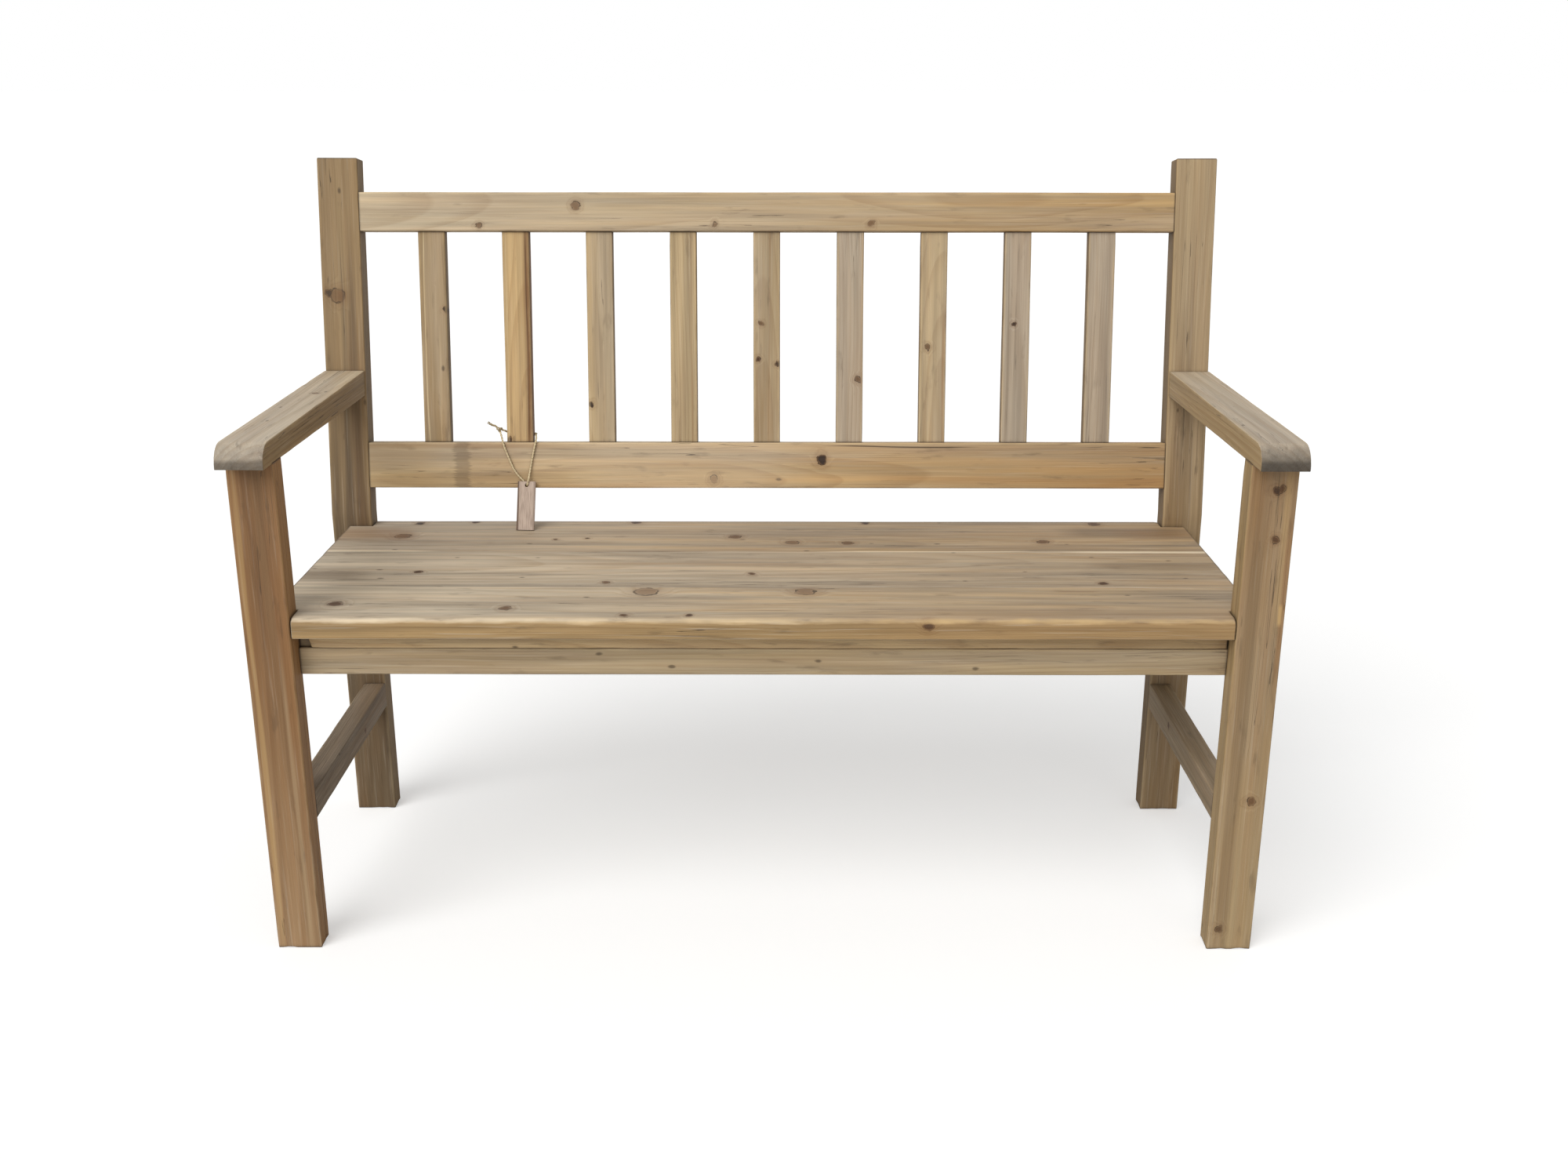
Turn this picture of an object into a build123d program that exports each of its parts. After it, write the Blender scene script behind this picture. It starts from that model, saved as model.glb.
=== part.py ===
from build123d import *
import os
from math import cos, radians, sin, tan

# A two-seat wooden bench with arms, a leaning slatted back and a plank seat.
# It stands on the floor at z = 0 with its middle over the origin, and the sitter faces -Y.
# Left and right are as seen from the front. All lengths are in millimetres.

# Main sizes of the bench
width_over_legs = 1200
frame_depth = 396  # from the front of the front legs to the front of the rear posts
seat_height = 429.5
arm_rise = 209.5  # from the seat up to the tops of the arms

# Squared stock of the legs, the rear posts and the arms
stock_width = 54
stock_thickness = 33
stock_arris = 1.6  # ease of the long edges
foot_ease = 2

# Rear posts, sawn with a kink above the seat
kink_rise = 16.5  # from the seat up to where the front face starts to lean back
back_rake = 9.4  # degrees from upright

# Rails and slats of the back, heights measured at the front faces of the posts
back_rail_thickness = 27
post_horn = 43.8  # how far the posts stand above the top rail
top_rail_height = 50.2
lower_rail_height = 61.4
slat_height = 278.6  # between the rails
back_opening = 52.5  # from the seat up to the lower rail
rail_arris = 1.4
slat_count = 9
slat_width = 36
slat_thickness = 18
slat_arris = 1

# Arms
arm_overhang = 1.5  # past the outer faces of the legs
arm_nose = 30  # past the fronts of the front legs
arm_nose_radius = 27
arm_nose_ease = 2.5

# Seat, three boards glued edge to edge
seat_thickness = 25
seat_rear_lap = 25  # past the front faces of the rear posts
seat_end_inset = 24  # from the outer faces of the legs to the ends of the boards
front_board_depth = 122
middle_board_depth = 149
seat_nosing_radius = 9
seat_arris = 1.5
notch_gap = 0.8  # between the boards and the legs that they are notched round
tongue_thickness = 8
tongue_depth = 8

# Seat frame
seat_rail_height = 53.5
side_rail_thickness = 30
rear_rail_thickness = 27
rear_rail_setback = 3  # behind the front faces of the rear posts
front_rail_height = 33
front_rail_thickness = 33
front_rail_setback = 26  # behind the fronts of the front legs
batten_left_gap = 9.5
batten_right_gap = 1.5
bearer_width = 33

# Side stretchers
stretcher_bottom = 161
stretcher_height = 35
stretcher_thickness = 30

# Mortise and tenon joints
fit_gap = 0.15  # on each cheek of a tenon
end_gap = 2  # glue space past the end of a tenon
cut_overrun = 3  # how far a cut starts outside the wood
tenon_thickness = 12
tenon_shoulder = 6
side_tenon_length = 22
rear_rail_tenon_length = 25
front_rail_tenon_length = 18
bearer_tenon_length = 12
back_rail_tenon_length = 30
slat_tenon_thickness = 10
slat_tenon_width = 28
slat_tenon_length = 12
arm_tenon_width = 30
arm_tenon_height = 14
arm_tenon_length = 20

# Hexagon-headed screws that hold the seat down from below
screw_shank_diameter = 5
screw_head_width = 8  # across its flats
screw_head_height = 3.5
screw_length = 60  # below the head
screw_clearance = 0.2  # round the shank
counterbore_diameter = 12
counterbore_depth = 10
rail_screw_spacing = 520
bearer_screw_spacing = 240

# Blank wooden hang tag, standing on the seat
tag_width = 24.5
tag_length = 67
tag_thickness = 2.6
tag_hole_diameter = 5
tag_hole_inset = 5.3  # from the top edge of the tag to the middle of the hole
tag_corner_offset = 20.3  # from the middle of its slat to the corner that it stands on
tag_foot_distance = 22.8  # from the front of the rear posts forward to that corner
tag_lean = 23  # degrees from upright
tag_swing = 2  # degrees about the upright
tag_roll = 1.2  # degrees about its own face

# Twine that ties the tag to a slat
tagged_slat_index = 1  # counted from the left, the first being 0
twine_diameter = 2.4
twine_sides = 6
knot_diameter = 7.6
knot_chamfer = 1.8
knot_flat_distance = 3.4  # from the middle of the knot to the flats where the strands leave it
bend_share = 0.45  # how much of the shorter run the bend at a corner takes

# Places worked out from the sizes above
arm_height = seat_height + arm_rise
kink_height = seat_height + kink_rise
lower_rail_bottom = seat_height + back_opening
lower_rail_top = lower_rail_bottom + lower_rail_height
top_rail_bottom = lower_rail_top + slat_height
top_rail_top = top_rail_bottom + top_rail_height
back_height = top_rail_top + post_horn
rake = radians(back_rake)
rake_axis = Axis((0, 0, 0), (0, sin(rake), cos(rake)))
rake_run = (back_height - kink_height) * tan(rake)
overall_depth = arm_nose + frame_depth + rake_run + stock_thickness * cos(rake)
leg_outer = width_over_legs / 2
leg_inner = leg_outer - stock_width
leg_front = arm_nose - overall_depth / 2
leg_back = leg_front + stock_thickness
post_front = leg_front + frame_depth
post_back = post_front + stock_thickness
arm_bottom = arm_height - stock_thickness
seat_underside = seat_height - seat_thickness
seat_rail_bottom = seat_underside - seat_rail_height
front_rail_top = seat_rail_bottom + front_rail_height
front_rail_front = leg_front + front_rail_setback
front_rail_back = front_rail_front + front_rail_thickness
rear_rail_front = post_front + rear_rail_setback
rear_rail_back = rear_rail_front + rear_rail_thickness
seat_end = leg_outer - seat_end_inset
slat_inset = (back_rail_thickness - slat_thickness) / 2
slat_gap = (2 * leg_inner - slat_count * slat_width) / (slat_count + 1)
slat_pitch = slat_width + slat_gap

# The plane of the front faces of the leaning posts: x to the right, y up the lean, z forward
back_plane = Plane(
    origin=(0, post_front, kink_height),
    x_dir=(1, 0, 0),
    z_dir=(0, -cos(rake), sin(rake)),
)

sides = {"left": -1, "right": 1}


def up_the_lean(height):
    """Distance up the back plane of a height above the floor."""
    return (height - kink_height) / cos(rake)


def lean_face(height):
    """Where the leaning front face of a post stands at a height above the floor."""
    return post_front + (height - kink_height) * tan(rake)


def block(x_span, y_span, z_span, mode=Mode.ADD):
    """A squared block between two planes each way."""
    spans = (x_span, y_span, z_span)
    middle = tuple((start + end) / 2 for start, end in spans)
    with Locations(middle):
        Box(*[abs(end - start) for start, end in spans], mode=mode)


def mortise(x_span, y_span, z_span, along):
    """The mortise for a tenon with those spans that enters along one of them, x, y or z."""
    spans = []
    for axis, (start, end) in zip("xyz", (x_span, y_span, z_span)):
        sign = 1 if end > start else -1
        if axis == along:
            spans.append((start - sign * cut_overrun, end + sign * end_gap))
        else:
            spans.append((start - sign * fit_gap, end + sign * fit_gap))
    block(*spans, mode=Mode.SUBTRACT)


def about(middle, width):
    """The span of a width about its middle."""
    return (middle - width / 2, middle + width / 2)


def screw_holes(places, bottom):
    """Counterbored clearance holes, drilled up into a rail from its underside."""
    for x, y in places:
        with Locations(Plane(origin=(x, y, bottom), z_dir=(0, 0, -1))):
            CounterBoreHole(
                radius=screw_shank_diameter / 2 + screw_clearance,
                counter_bore_radius=counterbore_diameter / 2,
                counter_bore_depth=counterbore_depth,
                depth=seat_underside - bottom,
            )


# The places of the screws: two in each long member of the seat frame and one in each side rail
frame_middle = (leg_back + post_front) / 2
front_screws = [(x, (front_rail_front + front_rail_back) / 2) for x in about(0, rail_screw_spacing)]
rear_screws = [(x, (rear_rail_front + rear_rail_back) / 2) for x in about(0, rail_screw_spacing)]
bearer_screws = [(0, y) for y in about(frame_middle, bearer_screw_spacing)]
side_screws = {
    side: [(sign * (leg_inner + side_rail_thickness / 2), frame_middle)] for side, sign in sides.items()
}
all_screws = front_screws + rear_screws + bearer_screws + side_screws["left"] + side_screws["right"]
screw_seat = seat_rail_bottom + counterbore_depth


# Spans of the tenons, each given from its shoulder to its end where it enters the mortise
def side_tenon(sign, thickness, z_span, at_post):
    """Tenon of a side rail or stretcher, into the front leg or the rear post."""
    x_span = about(sign * (leg_inner + thickness / 2), tenon_thickness)
    if at_post:
        return x_span, (post_front, post_front + side_tenon_length), z_span
    return x_span, (leg_back, leg_back - side_tenon_length), z_span


def rear_rail_tenon(sign):
    """Tenon of the rear seat rail, above the tenon of the side rail in the same post."""
    return (
        (sign * leg_inner, sign * (leg_inner + rear_rail_tenon_length)),
        about((rear_rail_front + rear_rail_back) / 2, tenon_thickness),
        (seat_rail_bottom + seat_rail_height / 2 + tenon_shoulder / 2, seat_underside - tenon_shoulder),
    )


def front_rail_tenon(sign):
    """Tenon of the front rail into the side seat rail, behind the leg."""
    return (
        (sign * leg_inner, sign * (leg_inner + front_rail_tenon_length)),
        about((leg_back + front_rail_back) / 2, tenon_thickness),
        front_tenon_heights,
    )


def bearer_tenon(at_rear):
    """Stub tenon of the seat bearer into the front rail or the rear seat rail."""
    start, reach = (rear_rail_front, 1) if at_rear else (front_rail_back, -1)
    return about(0, tenon_thickness), (start, start + reach * bearer_tenon_length), front_tenon_heights


def back_rail_tenon(sign, bottom, top):
    """Tenon of a back rail into the post, on the back plane."""
    return (
        (sign * leg_inner, sign * (leg_inner + back_rail_tenon_length)),
        (up_the_lean(bottom) + tenon_shoulder, up_the_lean(top) - tenon_shoulder),
        about(-back_rail_thickness / 2, tenon_thickness),
    )


def slat_tenon(x, shoulder, reach):
    """Tenon of a slat into a back rail, on the back plane."""
    return (
        about(x, slat_tenon_width),
        (shoulder, shoulder + reach * slat_tenon_length),
        about(-back_rail_thickness / 2, slat_tenon_thickness),
    )


def arm_rear_tenon(sign):
    """Level tenon of an arm into the leaning post."""
    return (
        about(sign * (leg_inner + leg_outer) / 2, arm_tenon_width),
        (lean_face(arm_bottom), lean_face(arm_bottom) + arm_tenon_length),
        about((arm_bottom + arm_height) / 2, arm_tenon_height),
    )


def leg_top_tenon(sign):
    """Upright tenon of a front leg into the arm above it."""
    return (
        about(sign * (leg_inner + leg_outer) / 2, arm_tenon_width),
        about((leg_front + leg_back) / 2, tenon_thickness),
        (arm_bottom, arm_bottom + arm_tenon_length),
    )


front_tenon_heights = (seat_rail_bottom + tenon_shoulder, front_rail_top - tenon_shoulder)
seat_tenon_heights = (seat_rail_bottom + tenon_shoulder, seat_underside - tenon_shoulder)
low_tenon_heights = (
    seat_rail_bottom + tenon_shoulder,
    seat_rail_bottom + seat_rail_height / 2 - tenon_shoulder / 2,
)
stretcher_tenon_heights = (
    stretcher_bottom + tenon_shoulder,
    stretcher_bottom + stretcher_height - tenon_shoulder,
)
slat_middles = [(i - (slat_count - 1) / 2) * slat_pitch for i in range(slat_count)]

os.makedirs("parts", exist_ok=True)


def finish(piece, name):
    """Labels a piece and writes it."""
    piece.part.label = name
    export_step(piece.part, f"parts/{name}.step")


# Front legs: straight squared stock from the floor to the arms
for side, sign in sides.items():
    with BuildPart() as front_leg:
        block((sign * leg_inner, sign * leg_outer), (leg_front, leg_back), (0, arm_bottom))
        chamfer(front_leg.faces().sort_by(Axis.Z)[0].edges(), foot_ease)
        fillet(front_leg.edges().filter_by(Axis.Z), stock_arris)
        block(*leg_top_tenon(sign))
        mortise(*side_tenon(sign, side_rail_thickness, seat_tenon_heights, False), along="y")
        mortise(*side_tenon(sign, stretcher_thickness, stretcher_tenon_heights, False), along="y")
    finish(front_leg, f"front_leg_{side}")

# Rear posts: sawn from one plank, upright to the kink and leaning back above it
kink_back_height = kink_height - stock_thickness * tan(rake / 2)
for side, sign in sides.items():
    with BuildPart() as rear_post:
        with BuildSketch(Plane.YZ.offset(sign * (leg_inner + leg_outer) / 2)):
            with BuildLine():
                Polyline(
                    (post_front, 0),
                    (post_front, kink_height),
                    (post_front + rake_run, back_height),
                    (
                        post_front + rake_run + stock_thickness * cos(rake),
                        back_height - stock_thickness * sin(rake),
                    ),
                    (post_back, kink_back_height),
                    (post_back, 0),
                    close=True,
                )
            make_face()
        extrude(amount=stock_width / 2, both=True)
        chamfer(rear_post.faces().sort_by(Axis.Z)[0].edges(), foot_ease)
        outline = rear_post.faces().filter_by(Axis.X).edges()
        fillet(outline - outline.sort_by(Axis.Z)[:1], stock_arris)
        mortise(*side_tenon(sign, side_rail_thickness, low_tenon_heights, True), along="y")
        mortise(*side_tenon(sign, stretcher_thickness, stretcher_tenon_heights, True), along="y")
        mortise(*rear_rail_tenon(sign), along="x")
        mortise(*arm_rear_tenon(sign), along="y")
        with Locations(back_plane):
            mortise(*back_rail_tenon(sign, lower_rail_bottom, lower_rail_top), along="x")
            mortise(*back_rail_tenon(sign, top_rail_bottom, top_rail_top), along="x")
    finish(rear_post, f"rear_post_{side}")

# Rails of the back, square to the lean, with a row of mortises for the slats
back_rails = {
    "lower_back_rail": (lower_rail_bottom, lower_rail_top, lower_rail_top, -1),
    "top_rail": (top_rail_bottom, top_rail_top, top_rail_bottom, 1),
}
for name, (bottom, top, slat_shoulder, reach) in back_rails.items():
    with BuildPart(back_plane) as back_rail:
        block((-leg_inner, leg_inner), (up_the_lean(bottom), up_the_lean(top)), (-back_rail_thickness, 0))
        fillet(back_rail.edges().filter_by(Axis.X), rail_arris)
        for sign in sides.values():
            block(*back_rail_tenon(sign, bottom, top))
        for x in slat_middles:
            mortise(*slat_tenon(x, up_the_lean(slat_shoulder), reach), along="y")
    finish(back_rail, name)

# Slats, tenoned into both rails and set back a little behind their faces
for number, x in enumerate(slat_middles, start=1):
    with BuildPart(back_plane) as slat:
        block(
            about(x, slat_width),
            (up_the_lean(lower_rail_top), up_the_lean(top_rail_bottom)),
            about(-back_rail_thickness / 2, slat_thickness),
        )
        chamfer(slat.edges().filter_by(rake_axis), slat_arris)
        block(*slat_tenon(x, up_the_lean(lower_rail_top), -1))
        block(*slat_tenon(x, up_the_lean(top_rail_bottom), 1))
    finish(slat, f"slat_{number}")

# Arms: level, with a rounded nose, mortised on the legs and cut to the lean at the rear
for side, sign in sides.items():
    with BuildPart() as arm:
        with BuildSketch(Plane.YZ.offset(sign * ((leg_inner + leg_outer) / 2 + arm_overhang))):
            with BuildLine():
                Polyline(
                    (leg_front - arm_nose, arm_bottom),
                    (leg_front - arm_nose, arm_height),
                    (lean_face(arm_height), arm_height),
                    (lean_face(arm_bottom), arm_bottom),
                    close=True,
                )
            make_face()
        extrude(amount=stock_width / 2, both=True)
        fillet(arm.edges().filter_by(Axis.X).group_by(Axis.Y)[0].sort_by(Axis.Z)[-1], arm_nose_radius)
        fillet(arm.edges().filter_by(Axis.X).group_by(Axis.Y)[0].sort_by(Axis.Z)[0], arm_nose_ease)
        outline = arm.faces().filter_by(Axis.X).edges()
        chamfer(outline - outline.sort_by(Axis.Y)[-2:], stock_arris)
        block(*arm_rear_tenon(sign))
        mortise(*leg_top_tenon(sign), along="z")
    finish(arm, f"arm_{side}")

# Side rails of the seat frame and side stretchers, tenoned into the legs and the posts
for side, sign in sides.items():
    rail_span = (sign * leg_inner, sign * (leg_inner + side_rail_thickness))
    with BuildPart() as side_seat_rail:
        block(rail_span, (leg_back, post_front), (seat_rail_bottom, seat_underside))
        fillet(side_seat_rail.edges().filter_by(Axis.Y), rail_arris)
        block(*side_tenon(sign, side_rail_thickness, seat_tenon_heights, False))
        block(*side_tenon(sign, side_rail_thickness, low_tenon_heights, True))
        mortise(*front_rail_tenon(sign), along="x")
        screw_holes(side_screws[side], seat_rail_bottom)
    finish(side_seat_rail, f"side_seat_rail_{side}")

    stretcher_span = (sign * leg_inner, sign * (leg_inner + stretcher_thickness))
    stretcher_top = stretcher_bottom + stretcher_height
    with BuildPart() as stretcher:
        block(stretcher_span, (leg_back, post_front), (stretcher_bottom, stretcher_top))
        fillet(stretcher.edges().filter_by(Axis.Y), rail_arris)
        block(*side_tenon(sign, stretcher_thickness, stretcher_tenon_heights, False))
        block(*side_tenon(sign, stretcher_thickness, stretcher_tenon_heights, True))
    finish(stretcher, f"stretcher_{side}")

# Front rail, between the legs and tenoned into the side rails behind them
with BuildPart() as front_rail:
    block((-leg_inner, leg_inner), (front_rail_front, front_rail_back), (seat_rail_bottom, front_rail_top))
    fillet(front_rail.edges().filter_by(Axis.X), rail_arris)
    for sign in sides.values():
        block(*front_rail_tenon(sign))
    mortise(*bearer_tenon(at_rear=False), along="y")
    screw_holes(front_screws, seat_rail_bottom)
finish(front_rail, "front_rail")

# Batten that packs the front rail up to the seat, short of the left leg
with BuildPart() as front_batten:
    block(
        (batten_left_gap - leg_inner, leg_inner - batten_right_gap),
        (front_rail_front, front_rail_back),
        (front_rail_top, seat_underside),
    )
    fillet(front_batten.edges().filter_by(Axis.X), rail_arris)
    with Locations([(x, y, front_rail_top) for x, y in front_screws]):
        Hole(radius=screw_shank_diameter / 2 + screw_clearance)
finish(front_batten, "front_batten")

# Rear rail of the seat frame
with BuildPart() as rear_seat_rail:
    block((-leg_inner, leg_inner), (rear_rail_front, rear_rail_back), (seat_rail_bottom, seat_underside))
    chamfer(rear_seat_rail.edges().filter_by(Axis.X), rail_arris)
    for sign in sides.values():
        block(*rear_rail_tenon(sign))
    mortise(*bearer_tenon(at_rear=True), along="y")
    screw_holes(rear_screws, seat_rail_bottom)
finish(rear_seat_rail, "rear_seat_rail")

# Bearer under the middle of the seat
with BuildPart() as seat_bearer:
    block(about(0, bearer_width), (front_rail_back, rear_rail_front), (seat_rail_bottom, seat_underside))
    chamfer(seat_bearer.edges().filter_by(Axis.Y), rail_arris)
    block(*bearer_tenon(at_rear=False))
    block(*bearer_tenon(at_rear=True))
    screw_holes(bearer_screws, seat_rail_bottom)
finish(seat_bearer, "seat_bearer")

# Seat boards, joined with loose-fitting tongues and notched round the legs and the posts
board_edges = [
    leg_front,
    leg_front + front_board_depth,
    leg_front + front_board_depth + middle_board_depth,
    post_front + seat_rear_lap,
]
tongue_heights = about((seat_underside + seat_height) / 2, tongue_thickness)
board_names = ["seat_board_front", "seat_board_middle", "seat_board_rear"]
for name, front, rear in zip(board_names, board_edges, board_edges[1:]):
    with BuildPart() as board:
        block((-seat_end, seat_end), (front, rear), (seat_underside, seat_height))
        top_edges = board.faces().sort_by(Axis.Z)[-1].edges()
        fillet(top_edges.filter_by(Axis.Y), seat_arris)
        if name == board_names[0]:
            long_edges = board.edges().filter_by(Axis.X)
            fillet(long_edges.group_by(Axis.Y)[0].sort_by(Axis.Z)[-1], seat_nosing_radius)
            long_edges = board.edges().filter_by(Axis.X)
            fillet(long_edges.group_by(Axis.Y)[0].sort_by(Axis.Z)[0], seat_arris)
            for sign in sides.values():
                block(
                    (sign * (leg_inner - notch_gap), sign * (seat_end + cut_overrun)),
                    (leg_front - cut_overrun, leg_back + notch_gap),
                    (seat_underside - cut_overrun, seat_height + cut_overrun),
                    mode=Mode.SUBTRACT,
                )
        else:
            groove_length = (-seat_end - cut_overrun, seat_end + cut_overrun)
            mortise(groove_length, (front, front + tongue_depth), tongue_heights, along="y")
        if name == board_names[-1]:
            rear_edges = board.edges().filter_by(Axis.X).group_by(Axis.Y)[-1]
            fillet(rear_edges, seat_arris)
            for sign in sides.values():
                block(
                    (sign * (leg_inner - notch_gap), sign * (seat_end + cut_overrun)),
                    (post_front - notch_gap, rear + cut_overrun),
                    (seat_underside - cut_overrun, seat_height + cut_overrun),
                    mode=Mode.SUBTRACT,
                )
        else:
            block((-seat_end, seat_end), (rear, rear + tongue_depth), tongue_heights)
        for x, y in all_screws:
            if front < y < rear:
                with Locations(Plane(origin=(x, y, seat_underside), z_dir=(0, 0, -1))):
                    Hole(
                        radius=screw_shank_diameter / 2 + screw_clearance,
                        depth=screw_seat + screw_length - seat_underside + screw_clearance,
                    )
    finish(board, name)

# Screws, all alike, with their heads up in the counterbores
with BuildPart() as seat_screws:
    with BuildSketch(Plane.XY.offset(screw_seat)):
        with Locations(all_screws):
            Circle(screw_shank_diameter / 2)
    extrude(amount=screw_length)
    with BuildSketch(Plane.XY.offset(screw_seat)):
        with Locations(all_screws):
            RegularPolygon(radius=screw_head_width / 2, side_count=6, major_radius=False)
    extrude(amount=-screw_head_height)
finish(seat_screws, "seat_screws")

# Blank tag: it stands on one corner on the seat and leans back towards the lower rail
tag_slat_middle = slat_middles[tagged_slat_index]
lean, swing = radians(tag_lean), radians(tag_swing)
tag_plane = Plane(
    origin=(tag_slat_middle + tag_corner_offset, post_front - tag_foot_distance, seat_height),
    x_dir=(cos(swing), -sin(swing), 0),
    z_dir=(-cos(lean) * sin(swing), -cos(lean) * cos(swing), sin(lean)),
).rotated((0, 0, -tag_roll))
tag_hole_x = -tag_width / 2
tag_hole_y = tag_length - tag_hole_inset
with BuildPart() as hang_tag:
    with BuildSketch(tag_plane):
        with Locations((-tag_width / 2, tag_length / 2)):
            Rectangle(tag_width, tag_length)
        with Locations((tag_hole_x, tag_hole_y)):
            Circle(tag_hole_diameter / 2, mode=Mode.SUBTRACT)
    extrude(amount=tag_thickness)
finish(hang_tag, "hang_tag")


def on_back(across, up, forward):
    """A point from the middle of the tagged slat and the top edge of the lower rail, on the back plane."""
    return back_plane.from_local_coords(
        Vector(tag_slat_middle + across, up_the_lean(lower_rail_top) + up, forward)
    )


def on_tag(across, up, forward):
    """A point from the middle of the tag's hole at its back face."""
    return tag_plane.from_local_coords(Vector(tag_hole_x + across, tag_hole_y + up, forward))


def twine(name, points):
    """A length of twine that follows a route, bent as evenly at each corner as its runs allow."""
    radii = []
    for before, corner, after in zip(points, points[1:], points[2:]):
        turn = radians((corner - before).get_angle(after - corner))
        shorter = min((corner - before).length, (after - corner).length)
        radii.append(bend_share * shorter / tan(turn / 2))
    with BuildPart() as strand:
        with BuildLine():
            route = FilletPolyline(*points, radius=radii)
        with BuildSketch(Plane(origin=route @ 0, z_dir=route % 0)) as section:
            RegularPolygon(radius=twine_diameter / 2, side_count=twine_sides)
        sweep(path=route)
    print(name, "radii", [round(radius, 1) for radius in radii], "length", round(route.length, 1))
    print(name, "volume", round(strand.part.volume, 2), "of", round(section.sketch.area * route.length, 2))
    finish(strand, name)


# Twine, in one loop from the knot down to the tag, through its hole, up over the rail and round the slat
knot_middle = on_back(-27.1, 17.6, -0.4)
loop_corners = [
    on_back(-24.3, 8.4, 1.8),
    on_back(-21.0, -4.5, 2.2),
    on_back(-12.6, -22.5, 2.3),
    on_back(-3.2, -41.0, 2.1),
    on_tag(-3.4, 6.9, -1.75),
    on_tag(0, 0, -1.6),
    on_tag(0, 0, 4.2),
    on_tag(2.8, 6.7, 3.9),
    on_back(18.6, -40.5, 2.2),
    on_back(21.2, -22.5, 2.2),
    on_back(24.4, -5.5, 2.3),
    on_back(24.9, 3.4, 1.5),
    on_back(22.6, 7.6, -4.8),
    on_back(19.9, 10.4, -13.2),
    on_back(20.6, 11.2, -25.4),
    on_back(-2.0, 12.6, -24.8),
    on_back(-20.6, 13.2, -25.4),
    on_back(-20.0, 14.6, -11.5),
    on_back(-21.4, 16.2, -4.6),
]
tail_corners = [on_back(-34.4, 22.6, -0.6), on_back(-40.2, 26.3, 0.1)]
strand_ends = [
    knot_middle + (corner - knot_middle).normalized() * knot_flat_distance
    for corner in (loop_corners[0], loop_corners[-1], tail_corners[0])
]
twine("twine_loop", [strand_ends[0], *loop_corners, strand_ends[1]])
twine("twine_tail", [strand_ends[2], *tail_corners])

# The knot, a faceted lump with a flat where each strand leaves it
with BuildPart() as twine_knot:
    with BuildSketch(Plane(origin=knot_middle)):
        RegularPolygon(radius=knot_diameter / 2, side_count=twine_sides)
    extrude(amount=knot_diameter / 2, both=True)
    chamfer(twine_knot.faces().filter_by(Axis.Z).edges(), knot_chamfer)
    for strand_end in strand_ends:
        split(bisect_by=Plane(origin=strand_end, z_dir=strand_end - knot_middle), keep=Keep.BOTTOM)
finish(twine_knot, "twine_knot")
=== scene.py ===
from functools import partial
from math import cos, pi, radians, sin, tan
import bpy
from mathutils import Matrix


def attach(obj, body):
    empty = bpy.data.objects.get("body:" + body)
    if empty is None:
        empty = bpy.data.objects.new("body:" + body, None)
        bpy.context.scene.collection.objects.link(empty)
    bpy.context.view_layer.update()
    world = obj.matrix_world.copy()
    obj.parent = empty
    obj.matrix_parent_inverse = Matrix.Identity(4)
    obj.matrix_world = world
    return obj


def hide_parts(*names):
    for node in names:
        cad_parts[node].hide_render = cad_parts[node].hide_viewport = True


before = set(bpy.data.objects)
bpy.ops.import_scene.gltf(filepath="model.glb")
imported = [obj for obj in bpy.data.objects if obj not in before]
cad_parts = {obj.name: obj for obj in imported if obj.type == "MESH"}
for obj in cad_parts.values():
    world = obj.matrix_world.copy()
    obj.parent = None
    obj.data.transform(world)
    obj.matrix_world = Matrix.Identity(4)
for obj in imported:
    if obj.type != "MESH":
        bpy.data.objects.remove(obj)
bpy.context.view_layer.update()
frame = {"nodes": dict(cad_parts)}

from types import SimpleNamespace

import bmesh
import bpy
from bpy.props import FloatProperty, FloatVectorProperty, IntProperty, PointerProperty
from mathutils import Matrix, Vector, noise

bl_info = {
    "name": "Mission settle",
    "version": (1, 0, 0),
    "blender": (4, 5, 0),
    "location": "3D View > Sidebar > Settle",
    "description": "Dresses a weathered softwood settle with knotty boards, a blank tag and its twine",
    "category": "Object",
}

MM = 0.001


def linear(hex_colour):
    """An sRGB hex colour as linear red, green and blue."""
    parts = [int(hex_colour[i : i + 2], 16) / 255 for i in (1, 3, 5)]
    return tuple(c / 12.92 if c <= 0.04045 else ((c + 0.055) / 1.055) ** 2.4 for c in parts)


def length_of(label, text, default_mm):
    return FloatProperty(name=label, description=text, default=default_mm * MM, min=0, unit="LENGTH")


def colour_of(label, text, hex_colour):
    return FloatVectorProperty(
        name=label, description=text, default=linear(hex_colour), min=0, max=1, size=3, subtype="COLOR"
    )


# sizes and colours


class SettleSizes(bpy.types.PropertyGroup):
    rake: FloatProperty(
        name="Back rake",
        description="Lean of the back above the seat",
        default=radians(9.4),
        subtype="ANGLE",
    )
    arris: length_of("Arris", "Rounding that handling has given the boards' edges", 1.7)
    end_ease: length_of("End ease", "Rounding of a board's end where it butts on another", 0.9)
    nosing: length_of("Nosing", "Rounding along the front of the seat", 9)
    edge_wear: length_of("Edge wear", "Depth of the small dents along the edges", 0.9)
    hollow: length_of("Hollow", "Unevenness of a planed face", 0.35)
    ring_pitch: length_of("Growth rings", "Width of one year's growth", 3.4)
    fibre_width: length_of("Fibre", "Width of a streak of fibre, drawn coarse enough to show", 1.5)
    twine_diameter: length_of("Twine", "Diameter of the twine", 2.4)
    twine_pitch: length_of("Twist", "Length of one turn of the twine's plies", 8.5)
    twine_plies: IntProperty(
        name="Plies", description="Yarns twisted into the twine", default=2, min=2, max=4
    )


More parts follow.
